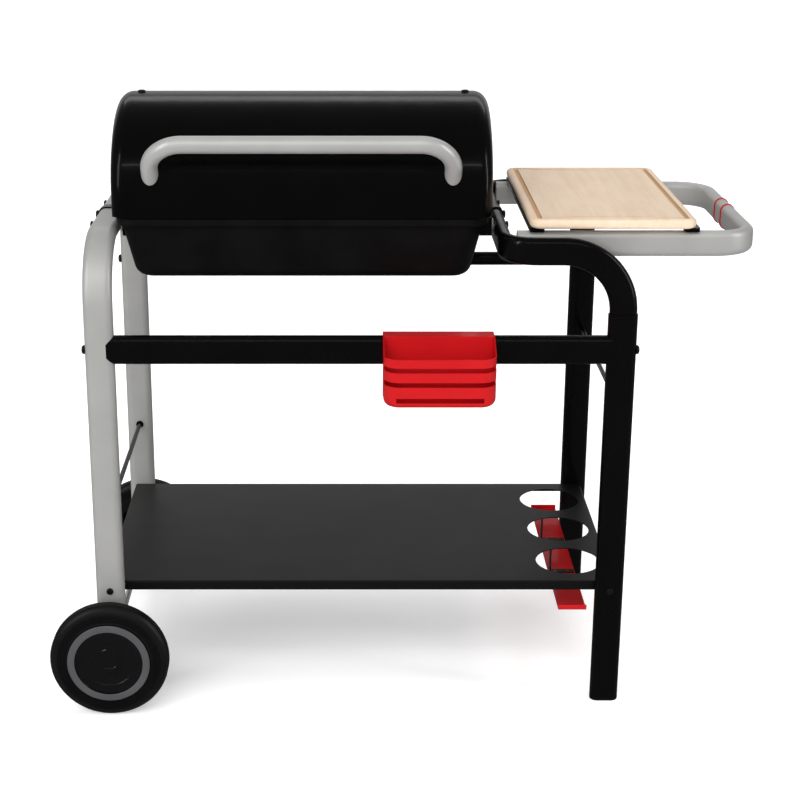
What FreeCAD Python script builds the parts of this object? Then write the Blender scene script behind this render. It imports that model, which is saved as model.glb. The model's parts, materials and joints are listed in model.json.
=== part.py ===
import FreeCAD, Part
import math
import os

# Barbecue trolley: a lidded cast tub hung between two bent-tube side frames, with a
# bottle shelf, two wheels on the left and a wooden side table on the right.
# Millimetres. X runs left to right along the front rail, Y runs front to back, Z is up.
# The origin is on the floor under the middle of the whole object.

# ---------------------------------------------------------------- driving dimensions
LEG_SPAN = 845.0            # left leg centre to right leg centre
LEG_DEPTH = 485.0           # front leg centre to back leg centre
SIDE_TOP = 815.0            # top of the two bent side frames above the floor
TUBE_WIDE = 48.0            # flat-oval frame tube, wide way
TUBE_THICK = 25.0           # flat-oval frame tube, thin way
TUBE_WALL = 1.5
SPIGOT_GAP = 0.1            # clearance of the upper tube inside the lower leg
SIDE_BEND = 98.0            # centre-line radius of the side frames' leg bends
RUN_BEND = 50.0             # centre-line radius of the upper tube's flat bends
LEFT_LEG_FOOT = 76.0        # height of the left legs' lower ends
SPIGOT_BOTTOM = 590.0       # lower end of the upper tube inside the right legs
SPIGOT_TOP = 690.0          # top of the right lower legs
FOOT_FLANGE = 5.0           # floor pad thickness under the right legs

RAIL_HEIGHT = 630.0         # centre of the front rail
REAR_BAR_HEIGHT = 664.0     # centre of the round rear bar
REAR_BAR_DIAMETER = 25.0

SHELF_TOP = 215.0
SHELF_SHEET = 1.5
SHELF_FOLD = 16.0           # depth of the folded edge
SHELF_CORNER = 5.0
SHELF_SIDE_REACH = 12.0     # how far the shelf runs past the leg centres
HOLE_DIAMETER = 111.0       # bottle hole
HOLE_PITCH = 144.0
HOLE_INSET = 58.0           # bottle hole centre line inside the right legs' centre line
CRADLE_WIDE = 48.0
CRADLE_DROP = 55.0          # bottle cradle below the shelf
CRADLE_SHEET = 2.0
CRADLE_LIP = 10.0           # height of its turned-up ends
CRADLE_BEND = 4.0           # outer radius of its bends
HANGER_WIDE = 14.0
HANGER_INSET = 2.0          # hanger inside the cradle's long edges

WHEEL_RADIUS = 100.0
WHEEL_WIDE = 38.0
WHEEL_STAND_OFF = 16.0      # wheel's inner face from the leg's outer face
RIM_RADIUS = 70.0
CAP_PROUD = 2.5             # hub cap's ring beyond the tyre's face
AXLE_DIAMETER = 10.0
RUNNING_GAP = 0.06          # radial clearance of turning fits

TIE_ROD_DIAMETER = 8.0
LEFT_TIE_HEIGHT = 338.0
RIGHT_TIE_HEIGHT = 535.0

TUB_LENGTH = 610.0          # rim, left to right
TUB_DEPTH = 338.0           # rim, front to back
TUB_HEIGHT = 105.0
TUB_WALL = 4.0
TUB_RIM_THICK = 14.0
TUB_RIM_WIDE = 10.0
TUB_TAPER_SIDE = 24.0       # how far each end wall leans in
TUB_TAPER_FRONT = 20.0      # how far front and back walls lean in
TUB_CORNER = 34.0
TUB_FLOOR_ROUND = 22.0      # round between walls and floor
TUB_SET_BACK = 66.0         # rim's front edge behind the front leg centre
RIM_TOP = 831.0
RIM_OVERHANG = 1.5          # the rim's left edge passes over the side frame
FRAME_GAP = 3.0             # washer thickness between tub and side frames
GRATE_GAP = 2.0             # between the two cooking grates
LEDGE_DROP = 22.0           # cooking grates' ledges below the rim
LUG_TALL = 8.0
COAL_LEDGE_RISE = 34.0      # coal grate's ledges above the tub's floor

LID_OVERHANG = 5.0          # the lid beyond the rim on each side
LID_OVERLAP_DEPTH = 3.0     # the lid beyond the rim at front and back
LID_SEAM = 0.6              # gap between rim and closed lid
LID_SKIRT = 40.0
LID_ARCH = 140.0
LID_WALL = 2.0
LID_END_DEPTH = 27.0        # dished depth of the end panels
LID_END_ROUND = 24.0
CREST_SCREW_INSET = 38.5    # crest screws from the lid's ends
LID_FLANGE = 22.0           # end panel's flange under the skin
LID_OPEN_DEGREES = 92.0

GRIP_DIAMETER = 28.0
GRIP_LENGTH = 488.0         # between the centres of the grip's two legs
GRIP_BEND = 56.0
GRIP_STAND_OFF = 80.0
GRIP_ANGLE = 54.0           # grip's plane above the horizontal
GRIP_FOOT_HEIGHT = 73.0     # grip's feet above the lid's lower edge

HINGE_SPACING = 380.0
HINGE_OFFSET = 10.0         # hinge pin behind the lid's back face
HINGE_BARREL = 14.0
HINGE_PIN = 6.0

HANDLE_TALL = 42.0          # side handle's flat-oval tube
HANDLE_THICK = 22.0
HANDLE_REACH = 221.0        # right end of the side handle beyond the right leg centre
HANDLE_BEND = 58.0
HANDLE_INSET = 40.0         # side handle's long runs inside the leg centres
HANDLE_TOP = 818.0
RING_PROUD = 1.5            # red bands stand out of the side handle
RING_WIDE = 5.0
RING_PITCH = 50.0
RING_START = -5.0           # first band's front face from the middle of the legs
BOARD_LENGTH = 267.0        # wooden board, left to right
BOARD_DEPTH = 456.0
BOARD_THICK = 15.5
BOARD_ROUND = 20.0
BOARD_EDGE = 6.5            # rounding of its long edges, top and bottom
GROOVE_INSET = 16.0         # juice groove, from the edges
GROOVE_BOW = 14.0
GROOVE_WIDE = 8.0
GROOVE_DEEP = 3.0
BOARD_GAP = 27.0            # board's left edge beyond the run's outer face
BEARER_TALL = 6.5           # strips between side handle and board
BEARER_WIDE = 24.0
BEARER_SET_BACK = 12.0      # bearers' ends behind the board's edges
PEG_INSET = 90.0            # pegs behind the board's edges
PEG_DIAMETER = 8.0

HOLDER_LENGTH = 180.0       # slatted tool holder on the front rail
HOLDER_REACH = 70.0
HOLDER_DROP = 101.0
HOLDER_FRONT_TALL = 82.0
HOLDER_SHEET = 2.0
HOLDER_GAP = 0.4            # between holder and rail
HOLDER_ROUND = 26.0
HOLDER_TRIM = 20.0          # lowest slot's ends inside the holder's sides
HOLDER_OFFSET = 126.0       # holder's middle to the right of the rail's middle
STRAP_WIDE = 20.0
STRAP_SHEET = 2.5

RAIL_BOLT = 8.0             # bolt shank diameters
SHELF_BOLT = 6.0
TUB_BOLT = 8.0
HANDLE_BOLT = 6.0
BOLT_GAP = 0.2              # radial clearance of the bolt holes
TUB_BOLT_PITCH = 85.0
TUB_BOLT_REACH = 9.0        # how far the tub bolts reach past the frame
SCREW_PITCH = 28.0          # between the two screws of a hinge leaf
BARREL_LENGTH = 44.0        # hinge barrel, all knuckles
LID_KNUCKLE = 16.0          # the lid's middle knuckle
KNUCKLE_GAP = 0.5
RIVET_DIAMETER = 4.0
RIVET_HOLE = 4.2
RIVET_HEAD = 8.0
RIVET_HEAD_TALL = 2.0
RIVET_PITCH = 22.0

# ---------------------------------------------------------------- places from the sizes
X_LEFT = -(LEG_SPAN + HANDLE_REACH + RING_PROUD - WHEEL_RADIUS) / 2.0
X_RIGHT = X_LEFT + LEG_SPAN
WHEEL_INNER = TUBE_THICK / 2.0 + WHEEL_STAND_OFF
BACK_REACH = WHEEL_INNER + WHEEL_WIDE + CAP_PROUD
FRONT_REACH = max(BACK_REACH, TUBE_THICK / 2.0 + HOLDER_GAP + HOLDER_REACH)
Y_FRONT = -(LEG_DEPTH + BACK_REACH - FRONT_REACH) / 2.0
Y_BACK = Y_FRONT + LEG_DEPTH
Y_MID = (Y_FRONT + Y_BACK) / 2.0
LEFT_INNER = X_LEFT + TUBE_WIDE / 2.0
LEFT_RUN_Z = SIDE_TOP - TUBE_THICK / 2.0

UPPER_WIDE = TUBE_WIDE - 2 * TUBE_WALL - 2 * SPIGOT_GAP
UPPER_THICK = TUBE_THICK - 2 * TUBE_WALL - 2 * SPIGOT_GAP
RUN_Z = SIDE_TOP - UPPER_WIDE / 2.0

RIM_LEFT = LEFT_INNER - RIM_OVERHANG
RIM_RIGHT = RIM_LEFT + TUB_LENGTH
RIM_FRONT = Y_FRONT + TUB_SET_BACK
RIM_BACK = RIM_FRONT + TUB_DEPTH
TUB_MID_X = (RIM_LEFT + RIM_RIGHT) / 2.0
TUB_MID_Y = (RIM_FRONT + RIM_BACK) / 2.0
TUB_FLOOR = RIM_TOP - TUB_HEIGHT
RUN_INNER = RIM_RIGHT + 12.0
RUN_X = RUN_INNER + UPPER_THICK / 2.0
RUN_OUTER = RUN_INNER + UPPER_THICK

LID_LEFT = RIM_LEFT - LID_OVERHANG
LID_RIGHT = RIM_RIGHT + LID_OVERHANG
LID_FRONT = RIM_FRONT - LID_OVERLAP_DEPTH
LID_BACK = RIM_BACK + LID_OVERLAP_DEPTH
LID_BOTTOM = RIM_TOP + LID_SEAM
LID_TOP = LID_BOTTOM + LID_SKIRT + LID_ARCH
HINGE_Y = LID_BACK + HINGE_OFFSET
HINGE_Z = LID_BOTTOM

SHELF_FRONT = Y_FRONT + TUBE_THICK / 2.0
SHELF_BACK = Y_BACK - TUBE_THICK / 2.0
HOLE_X = X_RIGHT - HOLE_INSET

HANDLE_Z = HANDLE_TOP - HANDLE_TALL / 2.0
HANDLE_FRONT = Y_FRONT + HANDLE_INSET
HANDLE_BACK = Y_BACK - HANDLE_INSET
HANDLE_END = X_RIGHT + HANDLE_REACH - HANDLE_THICK / 2.0
BOARD_LEFT = RUN_OUTER + BOARD_GAP
BOARD_BOTTOM = HANDLE_TOP + BEARER_TALL
BOARD_FRONT = Y_MID - BOARD_DEPTH / 2.0
BOARD_BACK = BOARD_FRONT + BOARD_DEPTH
HOLDER_X = (X_LEFT + X_RIGHT) / 2.0 + HOLDER_OFFSET

AXLE_Z = WHEEL_RADIUS

SHELF_BOLT_Z = SHELF_TOP - SHELF_FOLD / 2.0
TUB_BOLT_YS = [TUB_MID_Y - TUB_BOLT_PITCH, TUB_MID_Y, TUB_MID_Y + TUB_BOLT_PITCH]
HANDLE_BOLT_XS = [RUN_X + RUN_BEND + 9.0, X_RIGHT - SIDE_BEND - 9.0]
PEG_YS = [BOARD_FRONT + PEG_INSET, BOARD_BACK - PEG_INSET]
BODY_INSET = TUB_RIM_WIDE / 2.0
LEDGE_Z = RIM_TOP - LEDGE_DROP
COAL_LEDGE_Z = TUB_FLOOR + COAL_LEDGE_RISE
GRATE_INSET = 0.33 * (TUB_CORNER - TUB_WALL)
LEDGE_REACH = GRATE_INSET + 9.0
HINGE_SCREW_OFFSETS = [-SCREW_PITCH / 2.0, SCREW_PITCH / 2.0]
TUB_SCREW_Z = RIM_TOP - 8.0
LID_SCREW_Z = LID_BOTTOM + 26.0

X_AXIS = FreeCAD.Vector(1, 0, 0)
Y_AXIS = FreeCAD.Vector(0, 1, 0)
Z_AXIS = FreeCAD.Vector(0, 0, 1)


# ---------------------------------------------------------------- building blocks
def vec(x, y, z):
    return FreeCAD.Vector(x, y, z)


def box(x0, x1, y0, y1, z0, z1):
    """Box between two corners given as ranges."""
    return Part.makeBox(x1 - x0, y1 - y0, z1 - z0, vec(x0, y0, z0))


def rod(start, axis, length, diameter):
    """Round bar from a start point along an axis."""
    return Part.makeCylinder(diameter / 2.0, length, start, axis)


def merge(shapes):
    """Fuse touching solids into one."""
    first = shapes[0]
    if len(shapes) > 1:
        first = first.multiFuse(shapes[1:])
    return first.removeSplitter()


def rounded_box(x0, x1, y0, y1, z0, z1, radius, lines=None):
    """Box with its upright edges rounded, or those along another axis."""
    shape = box(x0, x1, y0, y1, z0, z1)
    axis = lines if lines is not None else Z_AXIS
    edges = []
    for edge in shape.Edges:
        along = edge.tangentAt(edge.FirstParameter)
        if abs(abs(along.dot(axis)) - 1.0) < 1e-6:
            edges.append(edge)
    return shape.makeFillet(radius, edges)


def oval_face(centre, wide_dir, thin_dir, wide, thin):
    """Flat-oval section with fully round narrow sides."""
    radius = thin / 2.0
    half = wide / 2.0 - radius
    a = centre - wide_dir * half - thin_dir * radius
    b = centre + wide_dir * half - thin_dir * radius
    c = centre + wide_dir * half + thin_dir * radius
    d = centre - wide_dir * half + thin_dir * radius
    right_mid = centre + wide_dir * (half + radius)
    left_mid = centre - wide_dir * (half + radius)
    edges = [
        Part.LineSegment(a, b).toShape(),
        Part.Arc(b, right_mid, c).toShape(),
        Part.LineSegment(c, d).toShape(),
        Part.Arc(d, left_mid, a).toShape(),
    ]
    return Part.Face(Part.Wire(edges))


def round_face(centre, wide_dir, thin_dir, wide, thin):
    """Round section; the thin size is not used."""
    circle = Part.Circle(centre, wide_dir.cross(thin_dir), wide / 2.0)
    return Part.Face(Part.Wire([circle.toShape()]))


def swept_bar(points, radius, wide_dir, wide, thin, face=oval_face):
    """Solid bar along straight runs joined by bends of one centre-line radius."""
    pieces = []
    here = points[0]
    across = wide_dir
    for index in range(1, len(points)):
        heading = (points[index] - points[index - 1]).normalize()
        target = points[index]
        turn = None
        if index < len(points) - 1:
            onward = (points[index + 1] - points[index]).normalize()
            angle = heading.getAngle(onward)
            back_off = radius[index - 1] * math.tan(angle / 2.0)
            target = points[index] - heading * back_off
            turn = (onward, angle)
        section = face(here, across, heading.cross(across), wide, thin)
        pieces.append(section.extrude(target - here))
        here = target
        if turn:
            onward, angle = turn
            axis = heading.cross(onward).normalize()
            inward = axis.cross(heading).normalize()
            centre = here + inward * radius[index - 1]
            section = face(here, across, heading.cross(across), wide, thin)
            pieces.append(section.revolve(centre, axis, math.degrees(angle)))
            spin = FreeCAD.Rotation(axis, math.degrees(angle))
            across = spin.multVec(across)
            here = centre + spin.multVec(here - centre)
    return merge(pieces)


def swept_tube(points, radius, wide_dir, wide, thin, wall, face=oval_face):
    """Hollow tube with open ends along the same kind of path."""
    outer = swept_bar(points, radius, wide_dir, wide, thin, face)
    inner = swept_bar(points, radius, wide_dir, wide - 2 * wall, thin - 2 * wall, face)
    return outer.cut(inner)


def revolved(profile, axis_point, axis_dir):
    """Solid turned from a closed list of points in the plane of the axis."""
    wire = Part.makePolygon(profile + [profile[0]])
    return Part.Face(wire).revolve(axis_point, axis_dir, 360)


def pan_screw(seat, outward, length, diameter, head, head_tall):
    """Screw with a domed head; seat is where the head meets the work."""
    shank = rod(seat, outward * -1.0, length, diameter)
    cap = rod(seat, outward, head_tall, head)
    rim = [edge for edge in cap.Edges if abs((edge.CenterOfMass - seat).dot(outward) - head_tall) < 1e-6]
    cap = cap.makeFillet(min(head_tall * 0.8, head * 0.3), rim)
    return merge([shank, cap])


def hex_nut(seat, outward, across_flats, tall, bore):
    """Nut standing on a seat with its hole along the outward direction."""
    side = across_flats / math.sqrt(3.0)
    flat = vec(outward.y, outward.z, outward.x)
    other = outward.cross(flat)
    corners = []
    for step in range(6):
        turn = math.radians(60.0 * step)
        corners.append(seat + flat * (side * math.cos(turn)) + other * (side * math.sin(turn)))
    body = Part.Face(Part.makePolygon(corners + [corners[0]])).extrude(outward * tall)
    return body.cut(rod(seat - outward, outward, tall + 2.0, bore))


def washer(seat, outward, outer, bore, tall):
    """Flat ring."""
    ring = rod(seat, outward, tall, outer)
    return ring.cut(rod(seat - outward, outward, tall + 2.0, bore))


def export(name, shapes):
    """Write one node; several separate solids share a node as a group."""
    solids = []
    for shape in shapes if isinstance(shapes, list) else [shapes]:
        solids.extend(shape.Solids)
    for solid in solids:
        if not solid.isValid() or not solid.isClosed():
            print("not sound:", name)
    result = solids[0] if len(solids) == 1 else Part.makeCompound(solids)
    result.exportStep("parts/" + name + ".step")
    print(name, len(solids), round(sum(solid.Volume for solid in solids)))


# ---------------------------------------------------------------- side frames
def leg_holes(x, tie_height):
    """Cutters for the bolts and rods that pass through the legs at one side."""
    cutters = []
    reach = TUBE_WIDE
    for y, z in ((Y_FRONT, RAIL_HEIGHT), (Y_BACK, REAR_BAR_HEIGHT)):
        start = vec(x - reach, y, z)
        cutters.append(rod(start, X_AXIS, 2 * reach, RAIL_BOLT + 2 * BOLT_GAP))
    for y in (Y_FRONT, Y_BACK):
        start = vec(x, y - reach / 2.0, SHELF_BOLT_Z)
        cutters.append(rod(start, Y_AXIS, reach, SHELF_BOLT + 2 * BOLT_GAP))
    for y, inward in ((Y_FRONT, 1.0), (Y_BACK, -1.0)):
        start = vec(x, y, tie_height)
        cutters.append(rod(start, Y_AXIS * inward, reach, TIE_ROD_DIAMETER + 2 * BOLT_GAP))
    return cutters


def build_left_leg_tube():
    points = [
        vec(X_LEFT, Y_FRONT, LEFT_LEG_FOOT),
        vec(X_LEFT, Y_FRONT, LEFT_RUN_Z),
        vec(X_LEFT, Y_BACK, LEFT_RUN_Z),
        vec(X_LEFT, Y_BACK, LEFT_LEG_FOOT),
    ]
    radius = [SIDE_BEND, SIDE_BEND]
    tube = swept_tube(points, radius, X_AXIS, TUBE_WIDE, TUBE_THICK, TUBE_WALL)
    cutters = leg_holes(X_LEFT, LEFT_TIE_HEIGHT)
    for y in (Y_FRONT, Y_BACK):
        start = vec(X_LEFT, y - TUBE_WIDE / 2.0, AXLE_Z)
        cutters.append(rod(start, Y_AXIS, TUBE_WIDE, AXLE_DIAMETER + 2 * BOLT_GAP))
    for y in TUB_BOLT_YS:
        start = vec(X_LEFT - TUBE_WIDE, y, LEFT_RUN_Z)
        cutters.append(rod(start, X_AXIS, 2 * TUBE_WIDE, TUB_BOLT + 2 * BOLT_GAP))
    return tube.cut(cutters)


def build_right_top_tube():
    points = [
        vec(X_RIGHT, Y_FRONT, SPIGOT_BOTTOM),
        vec(X_RIGHT, Y_FRONT, RUN_Z),
        vec(RUN_X, Y_FRONT, RUN_Z),
        vec(RUN_X, Y_BACK, RUN_Z),
        vec(X_RIGHT, Y_BACK, RUN_Z),
        vec(X_RIGHT, Y_BACK, SPIGOT_BOTTOM),
    ]
    radius = [SIDE_BEND, RUN_BEND, RUN_BEND, SIDE_BEND]
    tube = swept_tube(points, radius, X_AXIS, UPPER_WIDE, UPPER_THICK, TUBE_WALL)
    cutters = leg_holes(X_RIGHT, RIGHT_TIE_HEIGHT)[:2]
    for y in TUB_BOLT_YS:
        start = vec(RUN_X - TUBE_THICK, y, LEFT_RUN_Z)
        cutters.append(rod(start, X_AXIS, 2 * TUBE_THICK, TUB_BOLT + 2 * BOLT_GAP))
    for x in HANDLE_BOLT_XS:
        for y, inward in ((Y_FRONT, 1.0), (Y_BACK, -1.0)):
            start = vec(x, y, HANDLE_Z)
            cutters.append(rod(start, Y_AXIS * inward, TUBE_THICK, HANDLE_BOLT + 2 * BOLT_GAP))
    return tube.cut(cutters)


def build_right_leg(y):
    points = [vec(X_RIGHT, y, FOOT_FLANGE), vec(X_RIGHT, y, SPIGOT_TOP)]
    tube = swept_tube(points, [], X_AXIS, TUBE_WIDE, TUBE_THICK, TUBE_WALL)
    return tube.cut(leg_holes(X_RIGHT, RIGHT_TIE_HEIGHT))


def oval_block(x, y, z0, z1, wide, thin):
    """Upright flat-oval block."""
    face = oval_face(vec(x, y, z0), X_AXIS, Y_AXIS, wide, thin)
    return face.extrude(vec(0, 0, z1 - z0))


def build_right_foot(y):
    """Floor pad with a plug that fills the leg's end."""
    pad = oval_block(X_RIGHT, y, 0.0, FOOT_FLANGE, TUBE_WIDE, TUBE_THICK)
    low = [edge for edge in pad.Edges if abs(edge.BoundBox.ZMax) < 1e-6]
    pad = pad.makeFillet(1.5, low)
    shrink = 2 * TUBE_WALL + 2 * SPIGOT_GAP
    plug = oval_block(X_RIGHT, y, FOOT_FLANGE, FOOT_FLANGE + 28.0, TUBE_WIDE - shrink, TUBE_THICK - shrink)
    return merge([pad, plug])


def build_left_plugs():
    """End caps under the left legs."""
    plugs = []
    shrink = 2 * TUBE_WALL + 2 * SPIGOT_GAP
    for y in (Y_FRONT, Y_BACK):
        cap = oval_block(X_LEFT, y, LEFT_LEG_FOOT - 3.0, LEFT_LEG_FOOT, TUBE_WIDE, TUBE_THICK)
        wide = TUBE_WIDE - shrink
        thin = TUBE_THICK - shrink
        plug = oval_block(X_LEFT, y, LEFT_LEG_FOOT, LEFT_LEG_FOOT + 14.0, wide, thin)
        plugs.append(merge([cap, plug]))
    return plugs


def leg_outline(x, y):
    """Solid flat-oval leg used to cope the ends of what meets it."""
    return oval_block(x, y, LEFT_LEG_FOOT, SPIGOT_TOP, TUBE_WIDE, TUBE_THICK)


def build_front_rail():
    points = [vec(X_LEFT, Y_FRONT, RAIL_HEIGHT), vec(X_RIGHT, Y_FRONT, RAIL_HEIGHT)]
    tube = swept_tube(points, [], Z_AXIS, TUBE_WIDE, TUBE_THICK, TUBE_WALL)
    return tube.cut([leg_outline(X_LEFT, Y_FRONT), leg_outline(X_RIGHT, Y_FRONT)])


def build_rail_plugs():
    """Threaded end blocks inside the front rail."""
    plugs = []
    shrink = 2 * TUBE_WALL + 2 * SPIGOT_GAP
    for x, inward in ((X_LEFT, 1.0), (X_RIGHT, -1.0)):
        start = vec(x, Y_FRONT, RAIL_HEIGHT)
        face = oval_face(start, Z_AXIS, Y_AXIS, TUBE_WIDE - shrink, TUBE_THICK - shrink)
        block = face.extrude(vec(inward * (TUBE_WIDE / 2.0 + 30.0), 0, 0))
        bore = rod(start, X_AXIS * inward, TUBE_WIDE / 2.0 + 24.0, RAIL_BOLT)
        plugs.append(block.cut([leg_outline(x, Y_FRONT), bore]))
    return plugs


def build_rear_bar():
    start = vec(X_LEFT, Y_BACK, REAR_BAR_HEIGHT)
    bar = rod(start, X_AXIS, LEG_SPAN, REAR_BAR_DIAMETER)
    bar = bar.cut(rod(start, X_AXIS, LEG_SPAN, REAR_BAR_DIAMETER - 2 * TUBE_WALL))
    return bar.cut([leg_outline(X_LEFT, Y_BACK), leg_outline(X_RIGHT, Y_BACK)])


def build_rear_plugs():
    """Threaded end blocks inside the rear bar."""
    plugs = []
    for x, inward in ((X_LEFT, 1.0), (X_RIGHT, -1.0)):
        start = vec(x, Y_BACK, REAR_BAR_HEIGHT)
        length = TUBE_WIDE / 2.0 + 26.0
        block = rod(start, X_AXIS * inward, length, REAR_BAR_DIAMETER - 2 * TUBE_WALL - 2 * SPIGOT_GAP)
        bore = rod(start, X_AXIS * inward, length - 4.0, RAIL_BOLT)
        plugs.append(block.cut([leg_outline(x, Y_BACK), bore]))
    return plugs


def build_rail_bolts():
    """Bolts that pull rail and rear bar against the legs."""
    bolts = []
    for x, outward in ((X_LEFT, -1.0), (X_RIGHT, 1.0)):
        for y, z in ((Y_FRONT, RAIL_HEIGHT), (Y_BACK, REAR_BAR_HEIGHT)):
            seat = vec(x + outward * TUBE_WIDE / 2.0, y, z)
            bolts.append(pan_screw(seat, X_AXIS * outward, TUBE_WIDE + 18.0, RAIL_BOLT, 15.0, 5.0))
    return bolts


def build_tie_rod(x, height):
    """Rod between a front and a back leg with a collar against each leg."""
    face = TUBE_THICK / 2.0
    length = LEG_DEPTH - TUBE_THICK
    inset = 8.0
    start = vec(x, Y_FRONT + face - inset, height)
    body = rod(start, Y_AXIS, length + 2 * inset, TIE_ROD_DIAMETER)
    front = rod(vec(x, Y_FRONT + face, height), Y_AXIS, 3.0, TIE_ROD_DIAMETER + 6.0)
    back = rod(vec(x, Y_BACK - face, height), Y_AXIS * -1.0, 3.0, TIE_ROD_DIAMETER + 6.0)
    return merge([body, front, back])


# ---------------------------------------------------------------- shelf and bottle cradle
def build_shelf():
    """Pressed sheet with a folded edge all round and three bottle holes."""
    x0 = X_LEFT - SHELF_SIDE_REACH
    x1 = X_RIGHT + SHELF_SIDE_REACH
    y0 = SHELF_FRONT
    y1 = SHELF_BACK
    outer = rounded_box(x0, x1, y0, y1, SHELF_TOP - SHELF_FOLD, SHELF_TOP, SHELF_CORNER)
    top_edges = []
    for edge in outer.Edges:
        if abs(edge.BoundBox.ZMin - SHELF_TOP) < 1e-6:
            top_edges.append(edge)
    outer = outer.makeFillet(3.0, top_edges)
    inset = SHELF_SHEET
    low = SHELF_TOP - SHELF_FOLD - 1.0
    corner = SHELF_CORNER - inset
    inner = rounded_box(x0 + inset, x1 - inset, y0 + inset, y1 - inset, low, SHELF_TOP - inset, corner)
    shelf = outer.cut(inner)
    cutters = []
    for step in (-1, 0, 1):
        start = vec(HOLE_X, Y_MID + step * HOLE_PITCH, SHELF_TOP - SHELF_FOLD)
        cutters.append(rod(start, Z_AXIS, SHELF_FOLD + 5.0, HOLE_DIAMETER))
    for x in (X_LEFT, X_RIGHT):
        start = vec(x, y0 - 5.0, SHELF_BOLT_Z)
        cutters.append(rod(start, Y_AXIS, y1 - y0 + 10.0, SHELF_BOLT + 2 * BOLT_GAP))
    return shelf.cut(cutters)


def cradle_rivet_xs():
    return [HOLE_X - RIVET_PITCH / 2.0, HOLE_X + RIVET_PITCH / 2.0]


def hanger_ys():
    """Middles of the two webs of shelf between the bottle holes."""
    return [Y_MID - HOLE_PITCH / 2.0, Y_MID + HOLE_PITCH / 2.0]


def build_cradle():
    """Strip with turned-up ends, hung under the holes, that the bottles stand on."""
    x0 = HOLE_X - CRADLE_WIDE / 2.0
    x1 = HOLE_X + CRADLE_WIDE / 2.0
    z0 = SHELF_TOP - CRADLE_DROP
    t = CRADLE_SHEET
    lip = z0 + CRADLE_LIP
    high = z0 + CRADLE_DROP
    inside_bend = CRADLE_BEND - t
    outer = rounded_box(x0, x1, SHELF_FRONT, SHELF_BACK, z0, high, CRADLE_BEND, X_AXIS)
    inner = rounded_box(x0 - 1, x1 + 1, SHELF_FRONT + t, SHELF_BACK - t, z0 + t, 2.0 * high,
                        inside_bend, X_AXIS)
    above = box(x0 - 1, x1 + 1, SHELF_FRONT - 1, SHELF_BACK + 1, lip, 2.0 * high)
    strip = outer.cut([inner, above])
    cutters = []
    for y in hanger_ys():
        for x in cradle_rivet_xs():
            cutters.append(rod(vec(x, y, z0 - 1.0), Z_AXIS, 10.0, RIVET_HOLE))
    return strip.cut(cutters)


def build_cradle_hangers():
    """Channels welded under the shelf that carry the cradle."""
    hangers = []
    t = CRADLE_SHEET
    z0 = SHELF_TOP - CRADLE_DROP + t
    z1 = SHELF_TOP - SHELF_SHEET
    x0 = HOLE_X - CRADLE_WIDE / 2.0 + HANGER_INSET
    x1 = HOLE_X + CRADLE_WIDE / 2.0 - HANGER_INSET
    past = x1 + CRADLE_WIDE
    for y in hanger_ys():
        y0 = y - HANGER_WIDE / 2.0
        y1 = y + HANGER_WIDE / 2.0
        channel = rounded_box(x0, past, y0, y1, z0, z1, CRADLE_BEND, Y_AXIS)
        inside = rounded_box(x0 + t, 2.0 * past, y0 - 1, y1 + 1, z0 + t, z1 - t, CRADLE_BEND - t, Y_AXIS)
        channel = channel.cut([inside, box(x1, 2.0 * past, y0 - 1, y1 + 1, z0 - 1, z1 + 1)])
        for x in cradle_rivet_xs():
            channel = channel.cut(rod(vec(x, y, z0 - 1.0), Z_AXIS, 8.0, RIVET_HOLE))
        hangers.append(channel)
    return hangers


def build_cradle_rivets():
    rivets = []
    for y in hanger_ys():
        for x in cradle_rivet_xs():
            seat = vec(x, y, SHELF_TOP - CRADLE_DROP)
            rivets.append(pan_screw(seat, Z_AXIS * -1.0, 2 * CRADLE_SHEET, RIVET_DIAMETER,
                                    RIVET_HEAD, RIVET_HEAD_TALL))
    return rivets


def build_shelf_bolts():
    """Bolts from the legs' outer faces into the shelf's folded edge, with nuts inside."""
    pieces = []
    for x in (X_LEFT, X_RIGHT):
        for y, outward in ((Y_FRONT, -1.0), (Y_BACK, 1.0)):
            seat = vec(x, y + outward * TUBE_THICK / 2.0, SHELF_BOLT_Z)
            away = Y_AXIS * outward
            bolt = pan_screw(seat, away, TUBE_THICK + 11.0, SHELF_BOLT, 12.0, 4.0)
            inner = vec(x, y - outward * (TUBE_THICK / 2.0 + SHELF_SHEET), SHELF_BOLT_Z)
            nut = hex_nut(inner, away * -1.0, 10.0, 5.0, SHELF_BOLT - 0.1)
            pieces.append(merge([bolt, nut]))
    return pieces


# ---------------------------------------------------------------- wheels and axle
def wheel_points(side, pairs):
    """Profile points from pairs of distance outward and radius above the axle."""
    centre = Y_FRONT if side < 0 else Y_BACK
    return [vec(X_LEFT, centre + side * out, AXLE_Z + radius) for out, radius in pairs]


def wheel_turn(side, pairs):
    centre = Y_FRONT if side < 0 else Y_BACK
    return revolved(wheel_points(side, pairs), vec(X_LEFT, centre, AXLE_Z), Y_AXIS)


def build_tyre(side):
    """Moulded tyre with rounded shoulders."""
    a = WHEEL_INNER
    b = WHEEL_INNER + WHEEL_WIDE
    r = WHEEL_RADIUS
    pairs = [
        (a + 3.0, RIM_RADIUS), (a, RIM_RADIUS + 4.0), (a, r - 14.0), (a + 2.0, r - 8.0), (a + 6.0, r - 3.0),
        (a + 12.0, r), (b - 12.0, r), (b - 6.0, r - 3.0), (b - 2.0, r - 8.0), (b, r - 14.0),
        (b, RIM_RADIUS + 4.0), (b - 3.0, RIM_RADIUS),
    ]
    return wheel_turn(side, pairs)


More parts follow.
